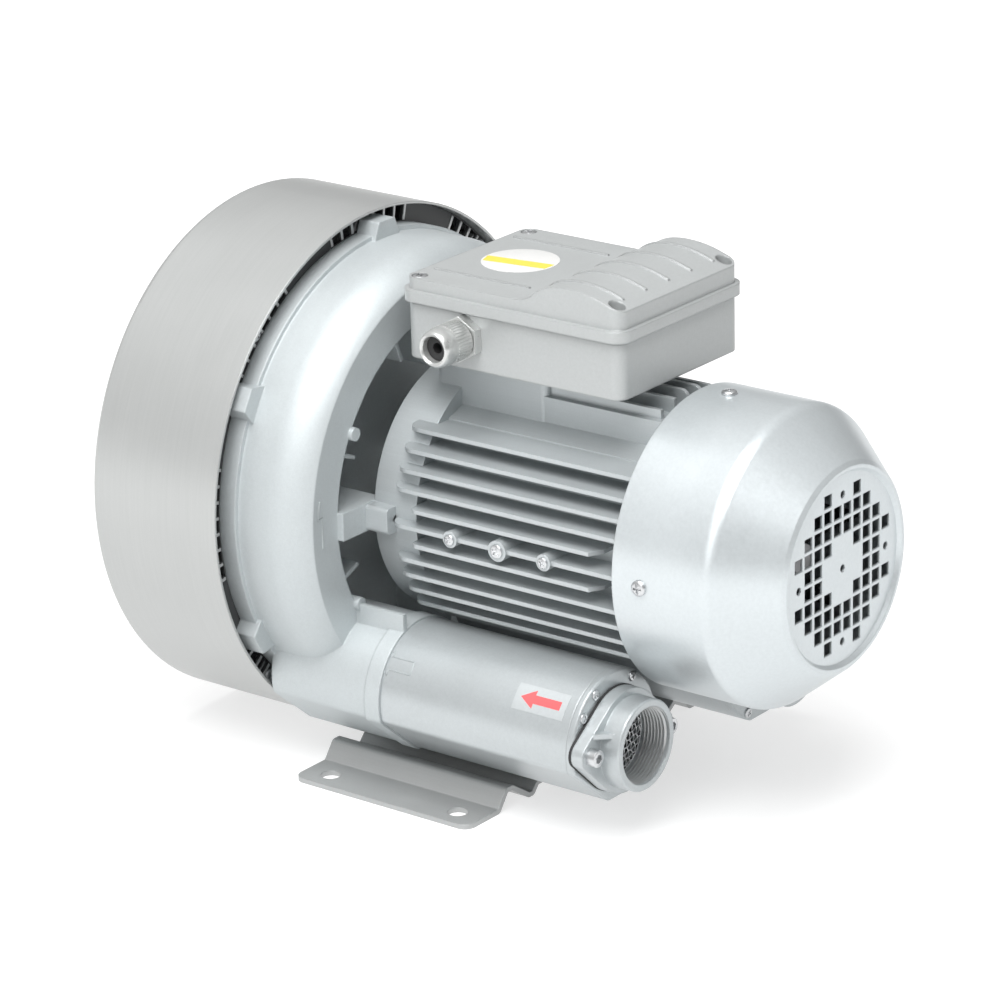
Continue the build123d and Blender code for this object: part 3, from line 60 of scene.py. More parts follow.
# ---- node trees --------------------------------------------------------------------------
class Wire:
    """A value in a node tree: a socket or a plain number, with ordinary arithmetic."""

    def __init__(self, tree: bpy.types.NodeTree, value: Union[bpy.types.NodeSocket, Number]) -> None:
        """Keep the tree and the socket or number.

        Args:
            tree: The node tree that the value lives in.
            value: An output socket or a plain number.
        """
        self.tree = tree
        self.value = value

    def maths(self, operation: str, *others: Value) -> "Wire":
        """Put one Math node after this value.

        Args:
            operation: The Math node's operation.
            others: The second and third inputs.

        Returns:
            The Math node's output.
        """
        node = self.tree.nodes.new("ShaderNodeMath")
        node.operation = operation
        for socket, entry in zip(node.inputs, (self, *others)):
            source = entry.value if isinstance(entry, Wire) else entry
            if isinstance(source, bpy.types.NodeSocket):
                self.tree.links.new(source, socket)
            else:
                socket.default_value = float(source)
        return Wire(self.tree, node.outputs[0])

    def __add__(self, other: Value) -> "Wire":
        """Sum."""
        return self.maths("ADD", other)

    __radd__ = __add__

    def __mul__(self, other: Value) -> "Wire":
        """Product."""
        return self.maths("MULTIPLY", other)

    __rmul__ = __mul__

    def __sub__(self, other: Value) -> "Wire":
        """Difference."""
        return self.maths("SUBTRACT", other)

    def __rsub__(self, other: Number) -> "Wire":
        """A number less this value."""
        return Wire(self.tree, other).maths("SUBTRACT", self)

    def __truediv__(self, other: Value) -> "Wire":
        """Quotient."""
        return self.maths("DIVIDE", other)

    def __rtruediv__(self, other: Number) -> "Wire":
        """A number divided by this value."""
        return Wire(self.tree, other).maths("DIVIDE", self)

    def __pow__(self, other: Value) -> "Wire":
        """Power."""
        return self.maths("POWER", other)

    def clamped(self, low: float = 0.0, high: float = 1.0) -> "Wire":
        """This value kept between low and high."""
        return self.maths("MAXIMUM", low).maths("MINIMUM", high)


class Tree:
    """A node tree under construction."""

    def __init__(self, tree: bpy.types.NodeTree) -> None:
        """Clear the tree.

        Args:
            tree: The tree to fill.
        """
        self.tree = tree
        tree.nodes.clear()

    def node(
        self, kind: str, inputs: Optional[dict] = None, output: Union[int, str] = 0, **settings: object
    ) -> Wire:
        """Add any node.

        Args:
            kind: The node's type name.
            inputs: Input name or number to a Wire, socket or plain value.
            output: Name or number of the output wanted.
            **settings: Properties set on the node before its inputs.

        Returns:
            The chosen output.
        """
        made = self.tree.nodes.new(kind)
        for name, value in settings.items():
            setattr(made, name, value)
        for name, value in (inputs or {}).items():
            socket = made.inputs[name]
            source = value.value if isinstance(value, Wire) else value
            if isinstance(source, bpy.types.NodeSocket):
                self.tree.links.new(source, socket)
            else:
                socket.default_value = source
        return Wire(self.tree, made.outputs[output])

    def end(self, surface: Wire) -> None:
        """Join a surface to the material's output."""
        out = self.tree.nodes.new("ShaderNodeOutputMaterial")
        self.tree.links.new(surface.value, out.inputs["Surface"])


# ---- finishes ----------------------------------------------------------------------------
STREAK = 0.10  # how far the fine streaks move shade and roughness
STREAK_LIFT = 0.6  # the streaks' share of the bump
MOTTLE_ROUGH = 0.10  # how far the mottle moves roughness
LOW_DARKENING_FADE = 6.0  # how fast the darkening towards the floor fades with height, per metre
FINE = 900.0  # streaks across the grain, per metre
COARSE = 25.0  # streaks along the grain, per metre
PER_TURN = 3.0  # streaks along the grain, per radian


class Grain(Enum):
    """Which way a finish's fine marks run."""

    EVEN = "even"
    ROUND_SHAFT = "round the shaft"
    ALONG_SHAFT = "along the shaft"


@dataclass(frozen=True)
class Finish:
    """A surface finish, with its marks in millimetres."""

    name: str
    colour: Colour
    metallic: float
    roughness: float
    grain: Grain = Grain.EVEN
    mottle: float = 0.05
    mottle_size: float = 30.0
    fleck: float = 0.05
    fleck_size: float = 0.7
    bump: float = 0.02
    bump_size: float = 1.2
    edge: float = 0.8
    coat: float = 0.0
    # how much darker the colour gets at floor level
    low_darkening: float = 0.0

    def material(self) -> bpy.types.Material:
        """Make the finish's material once and return it."""
        if self.name in bpy.data.materials:
            return bpy.data.materials[self.name]
        made = bpy.data.materials.new(self.name)
        made.use_nodes = True
        tree = Tree(made.node_tree)
        place = tree.node("ShaderNodeTexCoord", output="Object")
        x, y, z = (tree.node("ShaderNodeSeparateXYZ", {0: place}, axis) for axis in "XYZ")
        if self.grain is Grain.EVEN:
            run = self.noise(tree, place, self.fleck_size * 3, 1.0)
        else:
            run = self.streaks(tree, x, y, z)
        mottle = self.noise(tree, place, self.mottle_size, 3.0)
        fleck = self.noise(tree, place, self.fleck_size, 2.0)
        bump = self.noise(tree, place, self.bump_size, 4.0)
        shade = 1.0 + (mottle - 0.5) * (2 * self.mottle) + (fleck - 0.5) * (2 * self.fleck)
        shade = shade + (run - 0.5) * STREAK
        # Darker towards the floor, fading out within about 170 mm of height
        above_floor = (z * LOW_DARKENING_FADE).clamped()
        shade = shade * (1.0 - (1.0 - above_floor) * self.low_darkening)
        base = tree.node("ShaderNodeCombineXYZ", {i: shade * self.colour[i] for i in range(3)})
        rough = self.roughness + (mottle - 0.5) * MOTTLE_ROUGH + (run - 0.5) * STREAK
        rough = rough.clamped(0.05, 0.95)
        soft = tree.node("ShaderNodeBevel", {"Radius": self.edge * MM}, samples=4)
        normal = tree.node(
            "ShaderNodeBump",
            {"Height": bump + run * STREAK_LIFT, "Distance": self.bump * MM, "Strength": 1.0, "Normal": soft},
        )
        surface = tree.node(
            "ShaderNodeBsdfPrincipled",
            {"Base Color": base, "Roughness": rough, "Normal": normal, "Metallic": self.metallic,
             "Coat Weight": self.coat, "Coat Roughness": 0.25},
        )
        tree.end(surface)
        return made

    def noise(self, tree: Tree, place: Wire, size: float, detail: float) -> Wire:
        """Cloudy noise with features of the given size in millimetres."""
        scale = 1.0 / (size * MM)
        return tree.node("ShaderNodeTexNoise", {"Vector": place, "Scale": scale, "Detail": detail})

    def streaks(self, tree: Tree, x: Wire, y: Wire, z: Wire) -> Wire:
        """Fine streaks that follow the grain.

        Args:
            tree: The material's tree.
            x: Object coordinates, along the shaft.
            y: The same, across.
            z: The same, upwards.

        Returns:
            A value about 0.5.
        """
        if self.grain is Grain.ROUND_SHAFT:
            height = z - AXIS_HEIGHT * MM
            reach = (y * y + height * height) ** 0.5
            turn = y.maths("ARCTAN2", height)
            stretched = {0: x * FINE, 1: turn * PER_TURN, 2: reach * FINE}
        else:
            stretched = {0: x * COARSE, 1: y * FINE, 2: z * FINE}
        vector = tree.node("ShaderNodeCombineXYZ", stretched)
        return tree.node("ShaderNodeTexNoise", {"Vector": vector, "Scale": 1.0, "Detail": 3.0})


CAST = Finish(
    "silver_cast", (0.49, 0.525, 0.535), 0.45, 0.53, fleck=0.07, bump=0.05, bump_size=0.9, edge=1.6,
)
FINS = Finish(
    "silver_fins", (0.46, 0.49, 0.50), 0.45, 0.40, Grain.ALONG_SHAFT, fleck=0.06, bump=0.03, edge=0.6,
)
DUCT = Finish("silver_duct", (0.47, 0.50, 0.51), 0.55, 0.34, fleck=0.06, bump=0.04, bump_size=1.4, edge=1.2)
SHEET = Finish(
    "silver_sheet", (0.46, 0.47, 0.465), 0.55, 0.36, Grain.ROUND_SHAFT, mottle=0.04, mottle_size=60.0,
    fleck=0.03, bump=0.012, bump_size=2.0, edge=1.0,
)
COWL = Finish(
    "silver_cowl", (0.60, 0.64, 0.655), 0.60, 0.33, mottle=0.03, mottle_size=50.0, fleck=0.03,
    bump=0.012, bump_size=2.0, edge=1.0,
)
FOOT = Finish("silver_foot", (0.42, 0.43, 0.43), 0.45, 0.38, Grain.ALONG_SHAFT, low_darkening=0.05)
# Near-black, partly the ring's own dark colour and partly painted shade that makes the panels between the rib
# groups as dark as the shaded slots
GRILLE = Finish("dark_grille", (0.055, 0.057, 0.058), 0.3, 0.50, fleck=0.04, bump=0.01, edge=0.3)
GRILLE_RIB = Finish("silver_grille_ribs", (0.50, 0.51, 0.51), 0.5, 0.36, fleck=0.04, bump=0.01, edge=0.2)
BOX = Finish(
    "grey_box", (0.40, 0.415, 0.415), 0.25, 0.40, mottle=0.03, fleck=0.06, bump=0.03, bump_size=0.8,
    edge=1.6,
)
ZINC = Finish("zinc_screws", (0.62, 0.63, 0.64), 0.95, 0.30, fleck=0.05, bump=0.01, bump_size=0.6, edge=0.3)
BRIGHT = Finish(
    "nickel_gland", (0.60, 0.61, 0.60), 0.75, 0.30, mottle=0.02, fleck=0.02, bump=0.003, edge=0.3,
)
STEEL = Finish(
    "turned_steel", (0.48, 0.48, 0.49), 1.0, 0.30, Grain.ROUND_SHAFT, fleck=0.03, bump=0.01, edge=0.4,
)
RAW_CAST = Finish("raw_cast", (0.60, 0.61, 0.61), 0.9, 0.45, fleck=0.08, bump=0.05, edge=1.0)
IRON = Finish("laminations", (0.20, 0.20, 0.21), 0.8, 0.50, Grain.ROUND_SHAFT, bump=0.03, edge=0.3)
COPPER = Finish(
    "varnished_copper", (0.55, 0.24, 0.10), 0.8, 0.35, Grain.ROUND_SHAFT, fleck=0.10, bump=0.20,
    edge=1.0, coat=0.4,
)
BLACK = Finish("black_nylon", (0.030, 0.031, 0.032), 0.0, 0.45, fleck=0.10, bump=0.02, edge=0.5)
RUBBER = Finish("black_rubber", (0.022, 0.022, 0.023), 0.0, 0.70, fleck=0.12, bump=0.03, edge=0.5)
FOAM = Finish(
    "grey_foam", (0.10, 0.10, 0.105), 0.0, 0.90, fleck=0.35, fleck_size=1.6, bump=0.6, bump_size=1.8,
    edge=0.5,
)
IVORY = Finish("ivory_plastic", (0.72, 0.70, 0.64), 0.0, 0.35, fleck=0.02, bump=0.005, edge=0.5)
LABEL = Finish(
    "white_label", (0.62, 0.62, 0.61), 0.0, 0.40, mottle=0.02, fleck=0.02, bump=0.004, edge=0.05,
)
CLEAR_LABEL = replace(LABEL, name="pale_label", colour=(0.53, 0.56, 0.57), metallic=0.45, roughness=0.36)
FLANGE_METAL = Finish("silver_thread", (0.46, 0.47, 0.47), 0.7, 0.32, fleck=0.04, bump=0.006, edge=0.1)
# Lighter and less metallic than the zinc: partly the wire's own colour, partly painted light on wires that
# sit deep in the shaded port
LIT_SCREEN_WIRE = Finish("screen_wire", (0.78, 0.79, 0.80), 0.5, 0.35, fleck=0.04, bump=0.004, edge=0.05)
RED = Finish(
    "red_print", (0.66, 0.11, 0.115), 0.0, 0.40, mottle=0.03, fleck=0.03, bump=0.004, edge=0.05,
)
YELLOW = replace(RED, name="yellow_print", colour=(0.66, 0.56, 0.07))

NODE_FINISHES: dict[Finish, tuple[str, ...]] = {
    CAST: ("casing_motor_side",),
    FINS: ("motor_housing", "fan_end_shield", "drive_end_shield"),
    DUCT: (
        "inlet_silencer", "outlet_silencer", "inlet_end_cap", "outlet_end_cap", "inlet_flange",
        "outlet_flange",
    ),
    SHEET: ("drum_cover",),
    COWL: ("fan_cowl",),
    FOOT: ("foot_plate",),
    GRILLE: ("grille_ring",),
    BOX: ("terminal_box_base", "terminal_box_lid"),
    ZINC: (
        "foot_screws", "casing_bolts", "grille_screws", "drum_screws", "flange_screws", "cowl_screws",
        "lug_screws", "boss_screws", "lid_screws", "end_cap_screws", "shaft_nut", "fan_clip",
        "inlet_screen", "outlet_screen",
    ),
    BRIGHT: ("gland_body", "gland_nut", "gland_locknut"),
    STEEL: (
        "shaft", "shaft_keys", "drive_bearing_inner", "drive_bearing_outer", "fan_bearing_inner",
        "fan_bearing_outer",
    ),
    RAW_CAST: ("casing_middle", "casing_front", "impeller_rear", "impeller_front", "shaft_spacers"),
    IRON: ("rotor_core", "stator_core"),
    COPPER: ("stator_windings",),
    BLACK: ("cooling_fan", "terminal_block"),
    RUBBER: ("gland_seal", "terminal_box_gasket", "inlet_gasket", "outlet_gasket", "shaft_seal"),
    FOAM: ("inlet_liner", "outlet_liner"),
    IVORY: ("capacitor",),
}


# ---- mesh building -----------------------------------------------------------------------
class Shape:
    """A mesh being built in millimetres in the row frame."""

    def __init__(self) -> None:
        """Start empty."""
        self.points: list[tuple[float, float, float]] = []
        self.faces: list[tuple[int, ...]] = []

    def add(self, points: Sequence[Sequence[float]], faces: Iterable[Sequence[int]]) -> None:
        """Append one closed shell.

        Args:
            points: Its corners.
            faces: Its faces, as indices of those corners.
        """
        start = len(self.points)
        self.points += [tuple(p) for p in points]
        self.faces += [tuple(start + i for i in face) for face in faces]

    def rings(self, rings: Sequence[Sequence[Sequence[float]]], loop: bool = False) -> None:
        """Skin equal rings of points, closed by two end faces, or into a loop.

        Args:
            rings: Each a closed ring with the same number of points.
            loop: True to join the last ring to the first.
        """
        count, size = len(rings), len(rings[0])
        faces = []
        for i in range(count if loop else count - 1):
            a, b = i * size, (i + 1) % count * size
            for j in range(size):
                k = (j + 1) % size
                faces.append((a + j, a + k, b + k, b + j))
        if not loop:
            faces.append(tuple(reversed(range(size))))
            faces.append(tuple(range((count - 1) * size, count * size)))
        self.add([p for ring in rings for p in ring], faces)

    def prism(self, outline: Sequence[Point], place: Matrix, depth: float, soft: float = 0.0) -> None:
        """Push a closed outline along its normal, with softened end edges.

        Args:
            outline: Its corners, anticlockwise.
            place: From the outline's plane to the row frame.
            depth: Length along the plane's Z.
            soft: Radius of the two end edges.
        """
        steps = [(0.0, 0.0), (0.0, depth)]
        if soft:
            quarter = [math.pi / 2 * i / 3 for i in range(4)]
            near = [(soft * (1 - math.sin(t)), soft * (1 - math.cos(t))) for t in quarter]
            steps = near + [(inset, depth - rise) for inset, rise in reversed(near)]
        rings = []
        for inset, rise in steps:
            ring = inset_outline(outline, inset)
            rings.append([place @ Vector((u, v, rise)) for u, v in ring])
        self.rings(rings)

    def lathe(self, profile: Sequence[Point], place: Matrix, steps: int) -> None:
        """Turn a closed profile of (along, radius) round the place's Z axis.

        Args:
            profile: Corners of the closed half section, all radii above zero.
            place: From the axis's own frame, Z along the axis, to the row frame.
            steps: Facets round the axis.
        """
        rings = []
        for i in range(steps):
            turn = math.tau * i / steps
            rings.append([place @ Vector((r * math.cos(turn), r * math.sin(turn), a)) for a, r in profile])
        self.rings(rings, loop=True)

    def mesh(self, name: str) -> bpy.types.Mesh:
        """Close the work as a mesh in metres with outward faces.

        Args:
            name: The mesh's name.

        Returns:
            The mesh, smooth where its faces meet gently.
        """
        mesh = bpy.data.meshes.new(name)
        mesh.from_pydata([[c * MM for c in p] for p in self.points], [], self.faces)
        work = bmesh.new()
        work.from_mesh(mesh)
        bmesh.ops.remove_doubles(work, verts=work.verts, dist=1e-7)
        bmesh.ops.recalc_face_normals(work, faces=work.faces)
        for face in work.faces:
            face.smooth = True
        work.to_mesh(mesh)
        work.free()
        mesh.set_sharp_from_angle(angle=SMOOTH_BELOW)
        return mesh


def inset_outline(outline: Sequence[Point], inset: float) -> list[Point]:
    """Move a closed outline inwards by the mean normal of each corner.

    Args:
        outline: Its corners, anticlockwise.
        inset: How far to move in.

    Returns:
        The moved corners.
    """
    if not inset:
        return list(outline)
    moved = []
    for i, (u, v) in enumerate(outline):
        before, after = Vector(outline[i - 1]), Vector(outline[(i + 1) % len(outline)])
        here = Vector((u, v))
        first, second = (here - before).normalized(), (after - here).normalized()
        inward = Vector((-(first.y + second.y), first.x + second.x)).normalized()
        share = max(0.5, abs(inward.dot(Vector((-first.y, first.x)))))
        moved.append(tuple(here + inward * (inset / share)))
    return moved


def arc(centre: Point, radius: float, start: float, end: float, steps: int) -> list[Point]:
    """Points on an arc, angles in degrees, both ends included."""
    turns = [math.radians(start + (end - start) * i / steps) for i in range(steps + 1)]
    return [(centre[0] + radius * math.cos(t), centre[1] + radius * math.sin(t)) for t in turns]


def facing(origin: Sequence[float], normal: Sequence[float]) -> Matrix:
    """Frame whose Z is the normal and whose Y leans upwards, in millimetres.

    Args:
        origin: Its origin.
        normal: Its Z direction, not upright.

    Returns:
        The frame as a 4 by 4 matrix.
    """
    z = Vector(normal).normalized()
    x = Vector(UP).cross(z).normalized()
    y = z.cross(x)
    return Matrix.Translation(Vector(origin)) @ Matrix((x, y, z)).transposed().to_4x4()


def placed(name: str, data: Union[bpy.types.Mesh, bpy.types.Light, bpy.types.Camera]) -> bpy.types.Object:
    """Add an object to the scene, at the origin."""
    made = bpy.data.objects.new(name, data)
    bpy.context.scene.collection.objects.link(made)
    return made


def result_of(holder: bpy.types.Object, name: str) -> bpy.types.Mesh:
    """Read back what an object's modifiers make, as a plain mesh, and remove the object.

    Args:
        holder: The object with its modifiers.
        name: The new mesh's name.

    Returns:
        The new mesh.
    """
    bpy.context.view_layer.update()
    graph = bpy.context.evaluated_depsgraph_get()
    mesh = bpy.data.meshes.new_from_object(holder.evaluated_get(graph), depsgraph=graph)
    mesh.name = name
    bpy.data.objects.remove(holder)
    return mesh


def finished(
    name: str, mesh: bpy.types.Mesh, finish: Finish, stands_for: Sequence[str] = ()
) -> None:
    """Put a mesh in the scene as a piece that rides on the housing.

    Args:
        name: The piece's name.
        mesh: Its mesh, in metres in the row frame.
        finish: Its finish.
        stands_for: Solids that it is shown in place of.
    """
    mesh.materials.clear()
    mesh.materials.append(finish.material())
    piece = placed(name, mesh)
    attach(piece, "housing")
    if stands_for:
        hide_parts(*stands_for)
    LOG.info("%s: %d faces, %s", name, len(mesh.polygons), finish.name)


# ---- what repeats ------------------------------------------------------------------------
class Repeat:
    """A Geometry Nodes tree that repeats a seed mesh, run once and read back as a mesh."""

    def __init__(self, name: str, sockets: dict[str, str]) -> None:
        """Start a tree.

        Args:
            name: The tree's name.
            sockets: Input name to the kind of its socket, in order.
        """
        self.group = bpy.data.node_groups.new(name, "GeometryNodeTree")
        self.tree = Tree(self.group)
        face = self.group.interface
        face.new_socket("Geometry", in_out="INPUT", socket_type="NodeSocketGeometry")
        for label, kind in sockets.items():
            face.new_socket(label, in_out="INPUT", socket_type="NodeSocket" + kind)
        face.new_socket("Material", in_out="INPUT", socket_type="NodeSocketMaterial")
        face.new_socket("Geometry", in_out="OUTPUT", socket_type="NodeSocketGeometry")
        self.entry = self.group.nodes.new("NodeGroupInput")

    def given(self, label: str) -> Wire:
        """A named input's value."""
        return Wire(self.group, self.entry.outputs[label])

    def close(self, geometry: Wire) -> None:
        """Realize the copies, set the material and end the tree.

        Args:
            geometry: The instances.
        """
        real = self.tree.node("GeometryNodeRealizeInstances", {0: geometry})
        dressed = self.tree.node(
            "GeometryNodeSetMaterial", {"Geometry": real, "Material": self.given("Material")}
        )
        out = self.group.nodes.new("NodeGroupOutput")
        self.group.links.new(dressed.value, out.inputs[0])

    def run(self, name: str, base: bpy.types.Mesh, finish: Finish, **values: object) -> bpy.types.Mesh:
        """Evaluate the tree on a base mesh.

        Args:
            name: Name for the result.
            base: The mesh that goes in.
            finish: The finish that Set Material gives.
            **values: Input name to value.

        Returns:
            The plain mesh that comes out.
        """
        holder = placed(name + "_maker", base)
        modifier = holder.modifiers.new("repeat", "NODES")
        modifier.node_group = self.group
        wanted = {**values, "Material": finish.material()}
        for item in self.group.interface.items_tree:
            if item.in_out == "INPUT" and item.name in wanted:
                modifier[item.identifier] = wanted[item.name]
        return result_of(holder, name)


def around_axis() -> Repeat:
    """Tree that repeats its mesh round an axis through Centre.

    Returns:
        The tree, with inputs Count, Pitch, Axis and Centre.
    """
    sockets = {"Count": "Int", "Pitch": "Float", "Axis": "Vector", "Centre": "Vector"}
    made = Repeat("copies_round_an_axis", sockets)
    tree = made.tree
    line = tree.node("GeometryNodePoints", {"Count": made.given("Count"), "Position": made.given("Centre")})
    turn = tree.node("GeometryNodeInputIndex") * made.given("Pitch")
    spin = tree.node("FunctionNodeAxisAngleToRotation", {"Axis": made.given("Axis"), "Angle": turn})
    copies = tree.node(
        "GeometryNodeInstanceOnPoints",
        {"Points": line, "Instance": made.given("Geometry"), "Rotation": spin},
    )
    made.close(copies)
    return made


def on_places() -> Repeat:
    """Tree that sets a copy of Head on each point of its mesh, turned at random about its own axis.

    Returns:
        The tree, with inputs Head, Seed and Spread; the points carry an attribute named facing.
    """
    made = Repeat("heads_on_places", {"Head": "Object", "Seed": "Int", "Spread": "Float"})
    tree = made.tree
    head = tree.node("GeometryNodeObjectInfo", {"Object": made.given("Head")}, "Geometry")
    out = tree.node("GeometryNodeInputNamedAttribute", {"Name": "facing"}, 0, data_type="FLOAT_VECTOR")
    lean = tree.node("FunctionNodeAlignRotationToVector", {"Vector": out}, axis="Z")
    chance = tree.node(
        "FunctionNodeRandomValue", {2: 0.0, 3: made.given("Spread"), "Seed": made.given("Seed")}, 1,
        data_type="FLOAT",
    )
    twist = tree.node("FunctionNodeAxisAngleToRotation", {"Axis": (0, 0, 1), "Angle": chance})
    spin = tree.node(
        "FunctionNodeRotateRotation", {"Rotation": lean, "Rotate By": twist}, rotation_space="LOCAL"
    )
    points = tree.node("GeometryNodeMeshToPoints", {"Mesh": made.given("Geometry")})
    copies = tree.node(
        "GeometryNodeInstanceOnPoints", {"Points": points, "Instance": head, "Rotation": spin}
    )
    made.close(copies)
    return made


def tubes_on_paths() -> Repeat:
    """Tree that skins each path of its mesh as a closed round wire.

    Returns:
        The tree, with inputs Radius and Sides.
    """
    made = Repeat("wires_on_paths", {"Radius": "Float", "Sides": "Int"})
    tree = made.tree
    ring = tree.node(
        "GeometryNodeCurvePrimitiveCircle",
        {"Resolution": made.given("Sides"), "Radius": made.given("Radius")},
    )
    paths = tree.node("GeometryNodeMeshToCurve", {0: made.given("Geometry")})
    skin = tree.node("GeometryNodeCurveToMesh", {"Curve": paths, "Profile Curve": ring, "Fill Caps": True})
    made.close(skin)
    return made


def path_mesh(name: str, paths: Sequence[Sequence[Sequence[float]]]) -> bpy.types.Mesh:
    """Edges along each path, from points in millimetres.

    Args:
        name: The mesh's name.
        paths: Each a list of points.

    Returns:
        The mesh of edges.
    """
    points, edges = [], []
    for path in paths:
        start = len(points)
        points += [[c * MM for c in point] for point in path]
        edges += [(start + i, start + i + 1) for i in range(len(path) - 1)]
    mesh = bpy.data.meshes.new(name)
    mesh.from_pydata(points, edges, [])
    return mesh


class Drive(Enum):
    """How a screw head is driven."""

    CROSS = "cross recess"
    SOCKET = "hexagon socket"


@dataclass(frozen=True)
class Screw:
    """A screw's head: a turned form with its drive cut in, the drive as shares of the head."""

    radius: float
    height: float
    drive: Drive
    dome: float = 0.6
    root: float = 0.6
    facets: int = 48
    crown_steps: int = 6
    flat_share: float = 0.12
    root_share: float = 0.9
    socket_share: float = 0.58
    socket_floor: float = 0.45
    arm_share: float = 0.62
    arm_half: float = 0.15
    cross_floor: float = 0.40

    def head(self, name: str) -> bpy.types.Object:
        """Build the head on Z = 0, pointing up, as an object to copy.

        Args:
            name: Its name.

        Returns:
            The object.
        """
        size, tall = self.radius, self.height
        bends = [math.pi / 2 * i / self.crown_steps for i in range(self.crown_steps)]
        crown = [(tall - self.dome + self.dome * math.sin(t), size * math.cos(t)) for t in bends]
        profile = [(-self.root, size * self.root_share), (0.0, size), *crown, (tall, size * self.flat_share)]
        turns = [math.tau * i / self.facets for i in range(self.facets)]
        shape = Shape()
        shape.rings([[(r * math.cos(t), r * math.sin(t), along) for t in turns] for along, r in profile])
        return placed(name, carved(shape.mesh(name), self.recess().mesh(name + "_recess")))

    def recess(self) -> Shape:
        """The form that the drive takes out of the head."""
        size, tall = self.radius, self.height
        cut = Shape()
        if self.drive is Drive.SOCKET:
            floor = self.socket_floor
            outline = arc((0, 0), size * self.socket_share, 0, 300, 5)
        else:
            floor = self.cross_floor
            arm, half = size * self.arm_share, size * self.arm_half
            outline = [
                (half, half), (half, arm), (-half, arm), (-half, half), (-arm, half), (-arm, -half),
                (-half, -half), (-half, -arm), (half, -arm), (half, -half), (arm, -half), (arm, half),
            ]
        cut.prism(outline, Matrix.Translation((0, 0, tall * floor)), tall)
        return cut


def carved(mesh: bpy.types.Mesh, cutter: bpy.types.Mesh) -> bpy.types.Mesh:
    """Cut one mesh out of another.

    Args:
        mesh: What is cut.
        cutter: What is taken away.

    Returns:
        The new mesh.
    """
    holder, tool = placed("work", mesh), placed("tool", cutter)
    cut = holder.modifiers.new("cut", "BOOLEAN")
    cut.operation = "DIFFERENCE"
    cut.solver = "EXACT"
    cut.object = tool
    result = result_of(holder, mesh.name + "_cut")
    bpy.data.objects.remove(tool)
    result.set_sharp_from_angle(angle=SMOOTH_BELOW)
    return result


def round_shaft(radius: float, angle: float, x: float) -> Spot:
    """Point at a radius and an angle in degrees from +Y about the shaft."""
    turn = math.radians(angle)
    return (x, radius * math.cos(turn), AXIS_HEIGHT + radius * math.sin(turn))


# ---- sub-assemblies ----------------------------------------------------------------------
@dataclass
class Solids:
    """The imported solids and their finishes."""

    finishes: dict[Finish, tuple[str, ...]] = field(default_factory=lambda: NODE_FINISHES)

    def dress(self) -> None:
        """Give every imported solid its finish."""
        left = set(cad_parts)
        for finish, names in self.finishes.items():
            for name in names:
                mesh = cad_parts[name].data
                mesh.materials.clear()
                mesh.materials.append(finish.material())
                left.discard(name)
        LOG.info("solids dressed; without a finish: %s", sorted(left) or "none")


